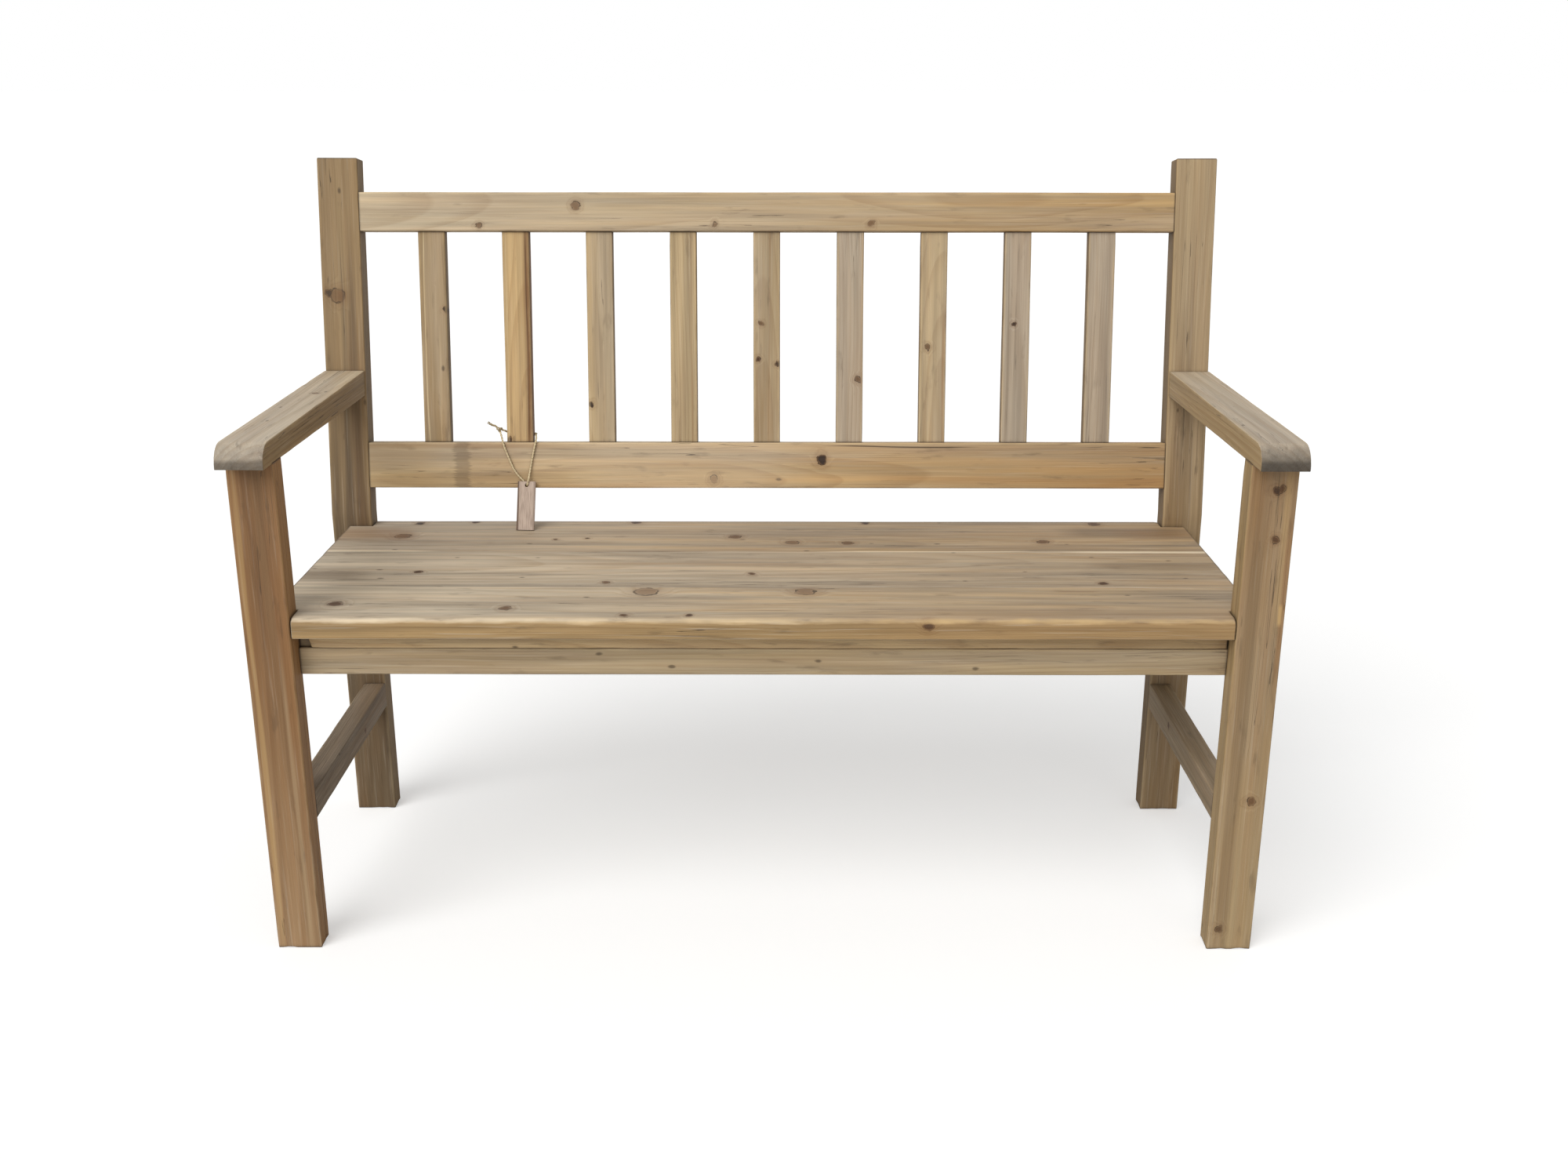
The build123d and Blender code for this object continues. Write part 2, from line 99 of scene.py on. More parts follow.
class SettleColours(bpy.types.PropertyGroup):
    rail: colour_of("Rails", "Pale tan wood of the top rail", "#c3ae8a")
    honey: colour_of("Honey", "Yellow wood of the lower rail and one slat", "#c3a06a")
    slat: colour_of("Slats", "Tan wood of most slats", "#b49d77")
    ash: colour_of("Ash", "Silver grey of weathered faces", "#b0a28f")
    chalk: colour_of("Chalk", "Palest grey, where sun and rain fall most", "#cfc3b0")
    seat: colour_of("Seat", "Wood of the seat where the grey has worn off", "#b39a77")
    seat_edge: colour_of("Seat edge", "Browner wood of the seat's front edge", "#a5895f")
    umber: colour_of("Left leg", "Red-brown wood of the left front leg", "#8a633b")
    leg: colour_of("Right leg", "Olive tan wood of the right front leg", "#9b8158")
    post: colour_of("Posts", "Brown wood of the rear posts", "#8c724c")
    frame: colour_of("Frame", "Wood of the seat's front rail and batten", "#a08a65")
    shade: colour_of("Low parts", "Dark brown of the stretchers and hidden rails", "#68543a")
    # The worn and bleached edge colours also carry painted highlight where the eased edges catch the light.
    worn: colour_of("Worn edge", "Bare pale wood on the rubbed edges", "#d9c39b")
    bleached: colour_of("Bleached edge", "Palest bare wood, on the front of the seat", "#ecdabb")
    bark: colour_of("Bark", "Dark ring and heart of a knot", "#2f2116")
    knot: colour_of("Knot", "Red-brown wood inside a knot", "#704a27")
    # Also painted shade: in the corners where boards meet, at the top of the left leg, low on the left post
    # and on the left stretcher.
    grime: colour_of("Grime", "Dirt in checks, stains and sawn ends", "#3d3022")
    twine: colour_of("Twine", "Pale hemp", "#dccba6")
    twine_shade: colour_of("Twine shade", "Darker fibres in the twist", "#937f5c")
    tag: colour_of("Tag", "Pale sawn tag wood", "#baa594")
    # Used for the tag's darker edges, darkest along the left one.
    tag_edge: colour_of("Tag edge", "Darker, scorched edge of the tag", "#5f4734")
    steel: colour_of("Steel", "Plain steel of the screws", "#8e8f90")
    floor: colour_of("Floor", "Plain pale floor", "#e4e4e3")


def sizes():
    return bpy.context.scene.settle_sizes


def colours():
    return bpy.context.scene.settle_colours


# finishes

# The patterns in the wood: how often each repeats in a metre across, through and along the board, its
# detail and its roughness. Scuffs and checks are finer than this in real wood, and are drawn as coarse as
# they need to be to show.
WOOD_PATTERNS = {
    # The ragged outlines of knots, 6 mm wide and 11 mm long.
    "ragged": ((160, 160, 90), 3, 0.5),
    # The wander of the pith, 200 mm wide and 770 mm long.
    "sway": ((5, 5, 1.3), 1.5, 0.5),
    # Long bands, 12 mm wide and 420 mm long.
    "band": ((85, 85, 2.4), 2, 0.55),
    # Patches of grey, 29 mm wide and 330 mm long.
    "patch": ((34, 34, 3), 4, 0.6),
    # Small stains, 9 mm wide and 45 mm long.
    "stain": ((110, 110, 22), 4, 0.5),
    "check": ((230, 230, 4), 1, 0.5),
    # Scuffs, 2.4 mm wide and 110 mm long.
    "scuff": ((420, 420, 9), 2, 0.5),
}
# What the dark latewood of a ring leaves of the wood's red, green and blue.
LATEWOOD_TINT = (0.62, 0.50, 0.36)


def add_node(tree, kind, *values, inputs=None, stops=None, **settings):
    """Adds one shader node with its settings, its colour stops and its inputs, which are given in their
    order or by number or name. A text before the inputs is the operation. An input is a value, a socket, or
    a node, which stands for the first output that it has in use. Inputs 1 to 4 of a Map Range are its
    limits, and 6 and 7 of a Mix its two colours."""
    node = tree.nodes.new("ShaderNode" + kind)
    if values and isinstance(values[0], str):
        node.operation, *values = values
    for key, value in settings.items():
        setattr(node, key, value)
    for i, (place, grey) in enumerate(stops or ()):
        stop = node.color_ramp.elements[i] if i < 2 else node.color_ramp.elements.new(place)
        stop.position, stop.color = place, (grey, grey, grey, 1)
    for key, value in (*enumerate(values), *(inputs or {}).items()):
        if isinstance(value, bpy.types.Node):
            value = next(socket for socket in value.outputs if socket.enabled)
        if isinstance(value, bpy.types.NodeSocket):
            tree.links.new(value, node.inputs[key])
        elif node.inputs[key].type == "RGBA":
            node.inputs[key].default_value = (*value[:3], 1)
        else:
            node.inputs[key].default_value = value
    return node


def new_finish(name):
    """A material with an empty tree, and add_node for that tree."""
    finish = bpy.data.materials.new(name)
    finish.use_nodes = True
    finish.node_tree.nodes.clear()
    return finish, partial(add_node, finish.node_tree)


def mixed(tone):
    """A colour between two of the panel's, as (one, other, share of the other)."""
    one, other, share = tone
    return [(1 - share) * x + share * y for x, y in zip(getattr(colours(), one), getattr(colours(), other))]


def distance_from(add, value, place):
    """How far a value is from a place, on either side."""
    off = add("Math", "SUBTRACT", value, place)
    return add("Math", "ABSOLUTE", off)


def turned_to(add, normal, direction):
    """How squarely the surface is turned along a direction, either way."""
    facing = add("VectorMath", "DOT_PRODUCT", normal, direction)
    return add("Math", "ABSOLUTE", facing)


def wood_of(add, board):
    """What the finish of a board is made from: its own places, its patterns, and which way a face is
    turned."""
    where = add("TexCoord").outputs
    spot = add(
        "Mapping",
        inputs={
            "Vector": where["Object"],
            "Location": board.place.translation,
            "Rotation": board.place.to_euler(),
        },
        vector_type="TEXTURE",
    )
    if board.kink:
        # The grain follows the post past its kink.
        height, slope = board.kink
        raw = add("SeparateXYZ", spot).outputs
        over = add("Math", "SUBTRACT", raw["Z"], height * MM)
        over = add("Math", "MAXIMUM", over, 0.0)
        over = add("Math", "MULTIPLY_ADD", over, -slope, raw["Y"])
        spot = add("CombineXYZ", raw["X"], over, raw["Z"])
    wood = SimpleNamespace(board=board, spot=spot, normal=where["Normal"])
    wood.x, wood.y, wood.z = add("SeparateXYZ", spot).outputs
    sideways = turned_to(add, wood.normal, board.place.to_3x3().col[0])
    wood.sideways = add("MapRange", sideways, 0.6, 0.9, 0, 1)
    wood.facing = add("Math", "SUBTRACT", 1.0, wood.sideways)

    own = add("VectorMath", spot, (board.seed * 0.37, board.seed * 0.73, board.seed * 1.9))
    thread = 1 / sizes().fibre_width
    patterns = {"fibre": ((thread, thread, 9), 3, 0.62), **WOOD_PATTERNS}
    for name, (repeats, detail, rough) in patterns.items():
        stretched = add("VectorMath", "MULTIPLY", own, repeats)
        noisy = {"Vector": stretched, "Scale": 1, "Detail": detail, "Roughness": rough}
        setattr(wood, name, add("TexNoise", inputs=noisy))
    open_part = add("MapRange", wood.patch, 0.54, 0.62, 0, 0.75)
    split = add("Math", "COMPARE", wood.check, 0.5, 0.008)
    wood.split = add("Math", "MULTIPLY", split, open_part)
    return wood


def place_knots(add, wood):
    """Gives the wood the distance to its nearest knot, in that knot's own radii, and how much knot a point
    is. A knot is an oval through the board, or a ball where it has a depth."""
    ragged = add(
        "VectorMath",
        "MULTIPLY_ADD",
        wood.ragged.outputs["Color"],
        (0.008, 0.008, 0.010),
        (-0.004, -0.004, -0.005),
    )
    ragged = add("VectorMath", wood.spot, ragged)
    wood.near, wood.solid = 1000.0, 0.0
    for x, z, radius, dark, *deep in wood.board.knots:
        scale = Vector((1, len(deep), 1)) / (radius * MM)
        middle = Vector((x, *(deep or [0]), z)) * MM
        oval = add("VectorMath", "MULTIPLY_ADD", ragged, scale, -middle * scale)
        oval = add("VectorMath", "LENGTH", oval)
        body = add("MapRange", oval, 0.65, 1.15, dark, 0)
        wood.near = add("Math", "MINIMUM", wood.near, oval)
        wood.solid = add("Math", "MAXIMUM", wood.solid, body)


def grow_rings(add, wood):
    """The latewood of the rings, by the distance from a wandering pith, a little conical along the board.
    The knots sweep the rings aside."""
    pith_x, pith_y = wood.board.pith
    pitch = sizes().ring_pitch * wood.board.pitch
    sway = add(
        "VectorMath",
        "MULTIPLY_ADD",
        wood.sway.outputs["Color"],
        (0.04, 0.04, 0),
        (-0.02 - pith_x * MM, -0.02 - pith_y * MM, 0),
    )
    radial = add("VectorMath", wood.spot, sway)
    radial = add("VectorMath", "MULTIPLY", radial, (1, 1, 0))
    radial = add("VectorMath", "LENGTH", radial)
    rings = add("Math", "MULTIPLY", wood.z, 0.008 / pitch)
    rings = add("Math", "MULTIPLY_ADD", radial, 1 / pitch, rings)
    if wood.board.knots:
        swept = add("MapRange", wood.near, 0.5, 3.2, 1.7, 0, interpolation_type="SMOOTHERSTEP")
        rings = add("Math", rings, swept)
    years = add("TexNoise", inputs={"W": rings, "Scale": 0.45, "Detail": 1}, noise_dimensions="1D")
    rings = add("Math", "MULTIPLY_ADD", years, 1.6, rings)
    rings = add("Math", "FRACT", rings)
    return add("ValToRGB", rings, stops=[(0, 0.04), (1, 0.04), (0.45, 0.2), (0.82, 0.95), (0.93, 1)])


def clean_colour(add, wood, latewood):
    """The wood's colour before any marks. It drifts from the board's first end to its other and from the
    face that shows to its sheltered sides, and weather has greyed it in long streaks. The sides' own tone
    is partly painted shade."""
    board, c = wood.board, colours()
    across, _, along = board.size
    first, last = board.turn
    drift = add("Math", "MULTIPLY_ADD", wood.band, along * 0.9, wood.z)
    wood.drift = add("MapRange", drift, along * (0.45 + first), along * (0.45 + last), 0, 1)
    tint = add("SeparateColor", wood.patch.outputs["Color"]).outputs["Green"]
    browner = add("MapRange", tint, 0.45, 0.7, 0, board.brown)
    greyer = add("Math", "MULTIPLY_ADD", wood.x, board.grey_side / across, wood.patch)
    greyer = add("MapRange", greyer, 0.36, 0.66, 0.15 * board.grey, board.grey)
    kept = add("Math", "MULTIPLY_ADD", wood.drift, -board.grey_fade, 1.0)
    greyer = add("Math", "MULTIPLY", greyer, kept)
    colour = mixed(board.tone)
    layers = [(wood.drift, mixed(board.far_tone or board.tone)), (browner, c.umber)]
    # The sides' tone is partly painted shade, for sides turned away from the light.
    if board.side_tone:
        layers.append((wood.sideways, mixed(board.side_tone)))
        greyer = add("Math", "MULTIPLY", greyer, wood.facing)
    for share, paint in layers:
        colour = add("Mix", inputs={0: share, 6: colour, 7: paint}, data_type="RGBA")
    ringed = add("Math", "MULTIPLY", latewood, board.figure)
    brown = add(
        "Mix", inputs={0: 1.0, 6: colour, 7: LATEWOOD_TINT}, data_type="RGBA", blend_type="MULTIPLY"
    )
    for share, paint in ((ringed, brown), (greyer, c.ash)):
        colour = add("Mix", inputs={0: share, 6: colour, 7: paint}, data_type="RGBA")

    swings = [
        (wood.band, 0.3, 0.7, 1 - 0.22 * board.contrast, 1 + 0.19 * board.contrast),
        (wood.patch, 0.36, 0.64, 1 + board.mottle, 1 - board.mottle),
        (wood.fibre, 0.3, 0.7, 1.06, 0.92),
    ]
    light = 1.0
    for pattern, low, high, at_low, at_high in swings:
        swing = add("MapRange", pattern, low, high, at_low, at_high)
        light = add("Math", "MULTIPLY", light, swing)
    return add("VectorMath", "SCALE", inputs={0: colour, 3: light})


def knot_marks(add, wood):
    """A live knot is red-brown with a dark heart, and a dead one almost black. Both have a halo and a
    broken rim."""
    c = colours()
    halo = add("MapRange", wood.near, 0.9, 2.4, 0.32, 0)
    dead = add("Math", "POWER", wood.solid, 2.2)
    turns = add("Math", "MULTIPLY", wood.near, 2.4)
    turns = add("Math", "FRACT", turns)
    dead = add("Math", "MULTIPLY_ADD", turns, 0.3, dead, use_clamp=True)
    heart = add("Mix", inputs={0: dead, 6: c.knot, 7: c.bark}, data_type="RGBA")
    body = add("Math", "MULTIPLY", wood.solid, 1.35, use_clamp=True)
    rim = add("Math", "COMPARE", wood.near, 1.0, 0.12)
    shown = add("MapRange", wood.stain, 0.38, 0.56, 0.2, 0.8)
    rim = add("Math", "MULTIPLY", rim, shown)
    return [(halo, c.knot), (body, heart), (rim, c.bark)]


def pin_marks(add, wood):
    """Pin knots, a few to the board, a little longer than wide, on the faces and not on the sides. Each has
    a place 48 mm wide and 91 mm long."""
    seed = wood.board.seed
    cells = add("CombineXYZ", wood.x, wood.z)
    cells = add("VectorMath", "MULTIPLY_ADD", cells, (21, 11, 0), (seed * 7.3, seed * 3.1, 0))
    cells = add("TexVoronoi", inputs={"Vector": cells, "Scale": 1}, voronoi_dimensions="2D")
    few = add("Math", "GREATER_THAN", cells.outputs["Color"], 1 - wood.board.pins)
    pin = add("Math", "MULTIPLY_ADD", wood.stain, 0.09, cells)
    pin = add("MapRange", pin, 0.065, 0.1, 0.65, 0)
    for only in (few, wood.facing):
        pin = add("Math", "MULTIPLY", pin, only)
    return [(pin, colours().bark)]


def glue_marks(add, wood):
    """The glue lines: a thin dark seam here, a smear of whitish glue there."""
    c, marks = colours(), []
    for side in wood.board.tight:
        seam = add("Math", "MULTIPLY_ADD", wood.stain, 0.0012, wood.x)
        seam = add("Math", "COMPARE", seam, side * MM + 0.0006, 0.0011)
        white = add("MapRange", wood.band, 0.44, 0.56, 0, 1)
        glue = add("Mix", inputs={0: white, 6: c.grime, 7: c.chalk}, data_type="RGBA")
        shown = add("MapRange", wood.stain, 0.35, 0.6, 0.15, 0.75)
        seam = add("Math", "MULTIPLY", seam, shown)
        marks.append((seam, glue))
    return marks


def streak_marks(add, wood):
    """Long streaks of pitch, heartwood or a split, that wander with the bands and thin out at their ends,
    and the grey bar that a spacer leaves across a board when the wood is stacked to dry."""
    c, marks = colours(), []
    for x, start, stop, wide, paint, strength in wood.board.streaks:
        off = add("Math", "MULTIPLY_ADD", wood.band, 0.012, wood.x)
        off = distance_from(add, off, x * MM + 0.006)
        off = add("MapRange", off, wide * 0.25 * MM, wide * 0.75 * MM, 1, 0)
        half = (stop - start) / 2 * MM
        run = distance_from(add, wood.z, (start + stop) / 2 * MM)
        run = add("MapRange", run, half * 0.6, half, strength, 0)
        run = add("Math", "MULTIPLY", run, off)
        marks.append((run, getattr(c, paint)))
    if wood.board.sticker:
        bar = add("Math", "MULTIPLY_ADD", wood.fibre, 0.024, wood.z)
        bar = distance_from(add, bar, wood.board.sticker * MM + 0.012)
        bar = add("MapRange", bar, 0.008, 0.012, 0.34, 0)
        marks.append((bar, c.grime))
    return marks


def pale_edge_and_highlight_marks(add, wood):
    """The pale edges, partly bare worn wood and partly painted highlight, by how far a point is, over the
    faces, from the nearest long edge of the face that shows or from the one edge that hands and legs brush,
    and a line of dirt where the board ends."""
    board, c = wood.board, colours()
    across, _, along = board.size
    if board.rub_side:
        side = add("Math", "MULTIPLY", wood.x, board.rub_side)
    else:
        side = add("Math", "ABSOLUTE", wood.x)
    side = add("Math", "SUBTRACT", across / 2, side)
    edge = add("Math", side, wood.y)
    edge = add("Math", "MULTIPLY_ADD", wood.stain, 0.006, edge)
    rubbed = board.rubbed * MM
    edge = add("MapRange", edge, rubbed + 0.0025, rubbed + 0.0055, board.rub, 0)
    # The pale edge is partly bare wood where the grey has worn off and partly painted highlight, where an
    # eased edge catches the light.
    bare = add(
        "Mix",
        inputs={0: wood.drift, 6: getattr(c, board.bare), 7: mixed(("worn", "honey", 0.75))},
        data_type="RGBA",
    )
    end = distance_from(add, wood.z, along / 2)
    end = add("MapRange", end, along / 2 - 0.0022, along / 2 - 0.0006, 0, 0.6)
    return [(edge, bare), (end, c.grime)]


def weathered_softwood(board):
    """Knotty fir, sawn, planed and left bare for years.

    Real growth rings stand round a pith beside the board, so the faces show straight or arched figure, and
    the sawn ends show arcs. The rings part round each knot. Years of use grey the faces in long streaks,
    leave dirt where a board ends and wear the edges pale, and the dull dry surface has almost no shine. The
    pale edges are partly painted highlight, and the corners where boards meet are darkened with painted
    shade."""
    c = colours()
    finish, add = new_finish(f"weathered softwood, planed, {board.piece.replace('_', ' ')}")
    wood = wood_of(add, board)
    place_knots(add, wood)
    latewood = grow_rings(add, wood)
    colour = clean_colour(add, wood, latewood)

    scuffed = add("MapRange", wood.scuff, 0.58, 0.7, 0, board.scuffed)
    stained = add("MapRange", wood.stain, 0.62, 0.74, 0, 0.3)
    marks = [(scuffed, c.chalk), (stained, c.grime)]
    marks += knot_marks(add, wood) if board.knots else []
    marks += pin_marks(add, wood) + [(wood.split, c.grime)]
    marks += glue_marks(add, wood) + streak_marks(add, wood) + pale_edge_and_highlight_marks(add, wood)
    for share, paint in marks:
        colour = add("Mix", inputs={0: share, 6: colour, 7: paint}, data_type="RGBA")
    # End grain drinks in dirt and looks darker.
    sawn = turned_to(add, wood.normal, board.place.to_3x3().col[2])
    sawn = add("MapRange", sawn, 0.25, 0.9, 1, 1 - board.end_dark)
    colour = add("VectorMath", "SCALE", inputs={0: colour, 3: sawn})
    # Painted shade: the corners where boards meet are darkened by their ambient occlusion.
    corner_shade = add("AmbientOcclusion", inputs={"Distance": 0.007}, samples=6)
    corner_shade = add("MapRange", corner_shade.outputs["AO"], 0.3, 0.85, 0.6, 0)
    colour = add("Mix", inputs={0: corner_shade, 6: colour, 7: c.grime}, data_type="RGBA")

    relief = add("Math", "MULTIPLY_ADD", latewood, 0.3, wood.fibre)
    relief = add("Math", "MULTIPLY_ADD", wood.split, -1.5, relief)
    bump = add("Bump", inputs={"Strength": 0.5, "Distance": 0.0008, "Height": relief})
    rough = add("MapRange", wood.fibre, 0.3, 0.7, 0.54, 0.76)
    shader = {
        "Base Color": colour, "Roughness": rough, "Normal": bump, "IOR": 1.5, "Specular IOR Level": 0.35
    }
    add("OutputMaterial", inputs={"Surface": add("BsdfPrincipled", inputs=shader)})
    return finish


def twisted_hemp(name, soiled):
    """Hemp, spun and twisted: pale dry fibres with darker ones in the lay, and no shine. Handled ends are
    soiled. The fibres are drawn 0.7 mm apart, because real ones are too fine to show."""
    c = colours()
    finish, add = new_finish(name)
    fibre = add(
        "TexNoise", inputs={"Vector": add("TexCoord").outputs["Object"], "Scale": 1400, "Detail": 3}
    )
    share = add("MapRange", fibre, 0.42, 0.7, soiled, 0.8)
    colour = add("Mix", inputs={0: share, 6: c.twine, 7: c.twine_shade}, data_type="RGBA")
    bump = add("Bump", inputs={"Strength": 0.7, "Distance": 0.0003, "Height": fibre})
    shader = {
        "Base Color": colour, "Roughness": 0.92, "IOR": 1.5, "Specular IOR Level": 0.2, "Normal": bump
    }
    add("OutputMaterial", inputs={"Surface": add("BsdfPrincipled", inputs=shader)})
    return finish


def sawn_tag_wood(middle, across, borders):
    """Thin limewood, sawn and sanded: a pale even face with faint straight grain, and darker edges, the
    left one darkest. The grain is 1.1 mm wide and 17 mm long."""
    c = colours()
    finish, add = new_finish("limewood, sawn and sanded")
    where = add("TexCoord").outputs
    long = add("VectorMath", "MULTIPLY", where["Object"], (900, 60, 60))
    grain = add("TexNoise", inputs={"Vector": long, "Scale": 1, "Detail": 3})
    share = add("MapRange", grain, 0.4, 0.7, 0, 0.45)
    colour = add("Mix", inputs={0: share, 6: c.tag, 7: c.tag_edge}, data_type="RGBA")
    facing = turned_to(add, where["Normal"], middle)
    edge = add("MapRange", facing, 0.5, 0.9, 0.8, 0)
    run = add("VectorMath", "DOT_PRODUCT", where["Object"], across)
    # The two borders across the tag are darkened, the left one most.
    for border, strength in zip(borders, (1.0, 0.45)):
        off = distance_from(add, run, border)
        off = add("MapRange", off, 0.0021, 0.0033, strength, 0)
        edge = add("Math", "MAXIMUM", edge, off)
    colour = add("Mix", inputs={0: edge, 6: colour, 7: c.tag_edge}, data_type="RGBA")
    bump = add("Bump", inputs={"Strength": 0.3, "Distance": 0.0002, "Height": grain})
    shader = add(
        "BsdfPrincipled", inputs={"Base Color": colour, "Roughness": 0.6, "IOR": 1.5, "Normal": bump}
    )
    add("OutputMaterial", inputs={"Surface": shader})
    return finish


def turned_steel():
    """Plain steel, turned and left bright: grey metal with fine turned lines that blur its shine. The lines
    are 0.3 mm apart."""
    c = colours()
    finish, add = new_finish("steel, turned")
    lines = add("VectorMath", "MULTIPLY", add("TexCoord").outputs["Object"], (200, 200, 3500))
    lines = add("TexNoise", inputs={"Vector": lines, "Scale": 1, "Detail": 2})
    rough = add("MapRange", lines, 0.3, 0.7, 0.28, 0.5)
    colour = add("Mix", inputs={0: lines, 6: c.steel, 7: [0.6 * x for x in c.steel]}, data_type="RGBA")
    shader = add("BsdfPrincipled", inputs={"Base Color": colour, "Metallic": 1.0, "Roughness": rough})
    add("OutputMaterial", inputs={"Surface": shader})
    return finish


def matt_paper():
    """A sheet of matt paper: even and without shine. It glows a little for the camera alone, so that it
    looks white and keeps its shadow, and sends no more light to the settle."""
    finish, add = new_finish("paper, matt")
    body = add("BsdfDiffuse", inputs={"Color": colours().floor})
    glow = add("Math", "MULTIPLY", add("LightPath").outputs["Is Camera Ray"], 0.37)
    glow = add("Emission", inputs={"Color": (1, 1, 1), "Strength": glow})
    add("OutputMaterial", inputs={"Surface": add("AddShader", body, glow)})
    return finish


# boards


class Board:
    """One sawn board. Its own axes are x across the face that shows, y into the wood and z along the grain,
    from the middle of that face's first end. Its places and sizes are in millimetres, and a tone is two of
    the panel's colours with the share of the second.

    Marks: knots are (across, along, radius, darkness), with a depth too for one inside the wood, and
    streaks (across, start, stop, width, colour, strength). Pins is the share of places with a pin knot, and
    sticker where a spacer lay. Rings: pith is where the tree's middle lies, across and behind the face,
    pitch and figure how wide and dark they are. Colour: tone changes to far_tone between the two shares of
    turn, and to side_tone, partly painted shade, on the sides. Brown, grey, contrast, mottle and scuffed
    are the strengths of those patterns. Grey_side says which side is greyer, and grey_fade how much of the
    grey is gone at the far end. Wear and painted highlight: rub is how pale the edges are,
    bare wood and painted highlight together, rub_side the only edge that is pale, rubbed how
    wide that is and bare its colour, end_dark how dark the sawn ends are, and chipped how deep the chips
    of a foot. Shape: outline, the kink of a post, tight for the glued sides, nosed for the rounded front of
    the seat, and spare for a piece that stands for no node."""

    count = 0
    knots, streaks, pins, sticker = (), (), 0.3, None
    pith, pitch, figure = (40, 90), 1.0, 0.36
    far_tone, side_tone, turn, brown, grey, grey_side, grey_fade = None, None, (0, 1), 0.3, 0.4, 0.0, 0.0
    contrast, mottle, scuffed = 1.0, 0.0, 0.12
    rub, rub_side, rubbed, bare, end_dark, chipped = 0.45, 0, 1.0, "worn", 0.35, 0.0
    outline, kink, tight, nosed, spare = None, None, (), False, False
    slot = "frame_wood"

    def __init__(self, node, origin, axes, size, tone, **looks):
        Board.count += 1
        self.node, self.piece, self.seed, self.tone = node, node + "_board", Board.count, tone
        x, y, z = (Vector(a) for a in axes)
        self.place = Matrix.Translation(Vector(origin) * MM) @ Matrix((x, y, z)).transposed().to_4x4()
        self.size = [v * MM for v in size]
        for name, value in looks.items():
            # A look that the class doesn't have is an error.
            getattr(self, name)
            setattr(self, name, value)

    def glued(self, x, slack):
        """Whether a place across the board lies on one of its glued sides."""
        return any(abs(x - side * MM) < slack for side in self.tight)


def new_object(name, data):
    made = bpy.data.objects.new(name, data)
    bpy.context.scene.collection.objects.link(made)
    return made


def prism(bm, plane, outline, first, last):
    """A straight solid: an outline in two of the board's axes, drawn out along the third."""
    order = {"xz": (0, 2, 1), "yz": (1, 2, 0)}[plane]

    def point(u, v, w):
        co = [0, 0, 0]
        co[order[0]], co[order[1]], co[order[2]] = u * MM, v * MM, w * MM
        return bm.verts.new(co)

    rings = [[point(u, v, w) for u, v in outline] for w in (first, last)]
    for ring in rings:
        bm.faces.new(ring)
    for i in range(len(outline)):
        j = (i + 1) % len(outline)
        bm.faces.new((rings[0][i], rings[0][j], rings[1][j], rings[1][i]))
    bmesh.ops.recalc_face_normals(bm, faces=bm.faces)


def corners(bm):
    return [e for e in bm.edges if len(e.link_faces) == 2 and e.calc_face_angle() > radians(24)]


def with_middles(edges):
    return [(e, (e.verts[0].co + e.verts[1].co) / 2) for e in edges]


def ease(bm, edges, radius, segments):
    """Rounds edges over."""
    if edges:
        rounding = dict(offset=radius, offset_type="OFFSET", segments=segments, profile=0.5)
        bmesh.ops.bevel(bm, geom=edges, affect="EDGES", clamp_overlap=True, **rounding)


def saw(bm, board):
    """The board's straight shape, with its edges eased, but not those of its glued sides."""
    s = sizes()
    across, through, along = board.size
    near_end, glue_slack = 0.001, 0.0002
    half, long = across / 2 / MM, along / MM
    plain = ("xz", [(-half, 0), (half, 0), (half, long), (-half, long)], 0, through / MM)
    prism(bm, *(board.outline or plain))
    if board.nosed:
        # The nosing runs between the legs, along the front of the top.
        front = [
            e
            for e, m in with_middles(corners(bm))
            if abs(m.x - across / 2) < 0.001 and m.y < 0.001 and abs(m.z - along / 2) < 0.1
        ]
        ease(bm, front, s.nosing, 7)
    free = [(e, m) for e, m in with_middles(corners(bm)) if not board.glued(m.x, glue_slack)]
    ease(bm, [e for e, m in free if near_end <= m.z <= along - near_end], s.arris, 3)
    near_end = 0.0012
    ends = [e for e in corners(bm) if all(v.co.z < near_end or v.co.z > along - near_end for v in e.verts)]
    ends = [e for e in ends if not any(board.glued(v.co.x, glue_slack) for v in e.verts)]
    ease(bm, ends, s.end_ease, 2)


def divide(bm, board):
    """Cuts the faces into a grid that is fine enough for their wear."""
    fine = 0.006 if board.chipped else 0.02
    for axis, step in ((2, 0.018), (0, fine), (1, fine)):
        low, high = min(v.co[axis] for v in bm.verts), max(v.co[axis] for v in bm.verts)
        cuts = int((high - low) / step)
        normal = Vector([float(k == axis) for k in range(3)])
        for i in range(1, cuts):
            cut = normal * (low + (high - low) * i / cuts)
            geometry = bm.verts[:] + bm.edges[:] + bm.faces[:]
            bmesh.ops.bisect_plane(bm, geom=geometry, dist=1e-6, plane_co=cut, plane_no=normal)
    bm.normal_update()


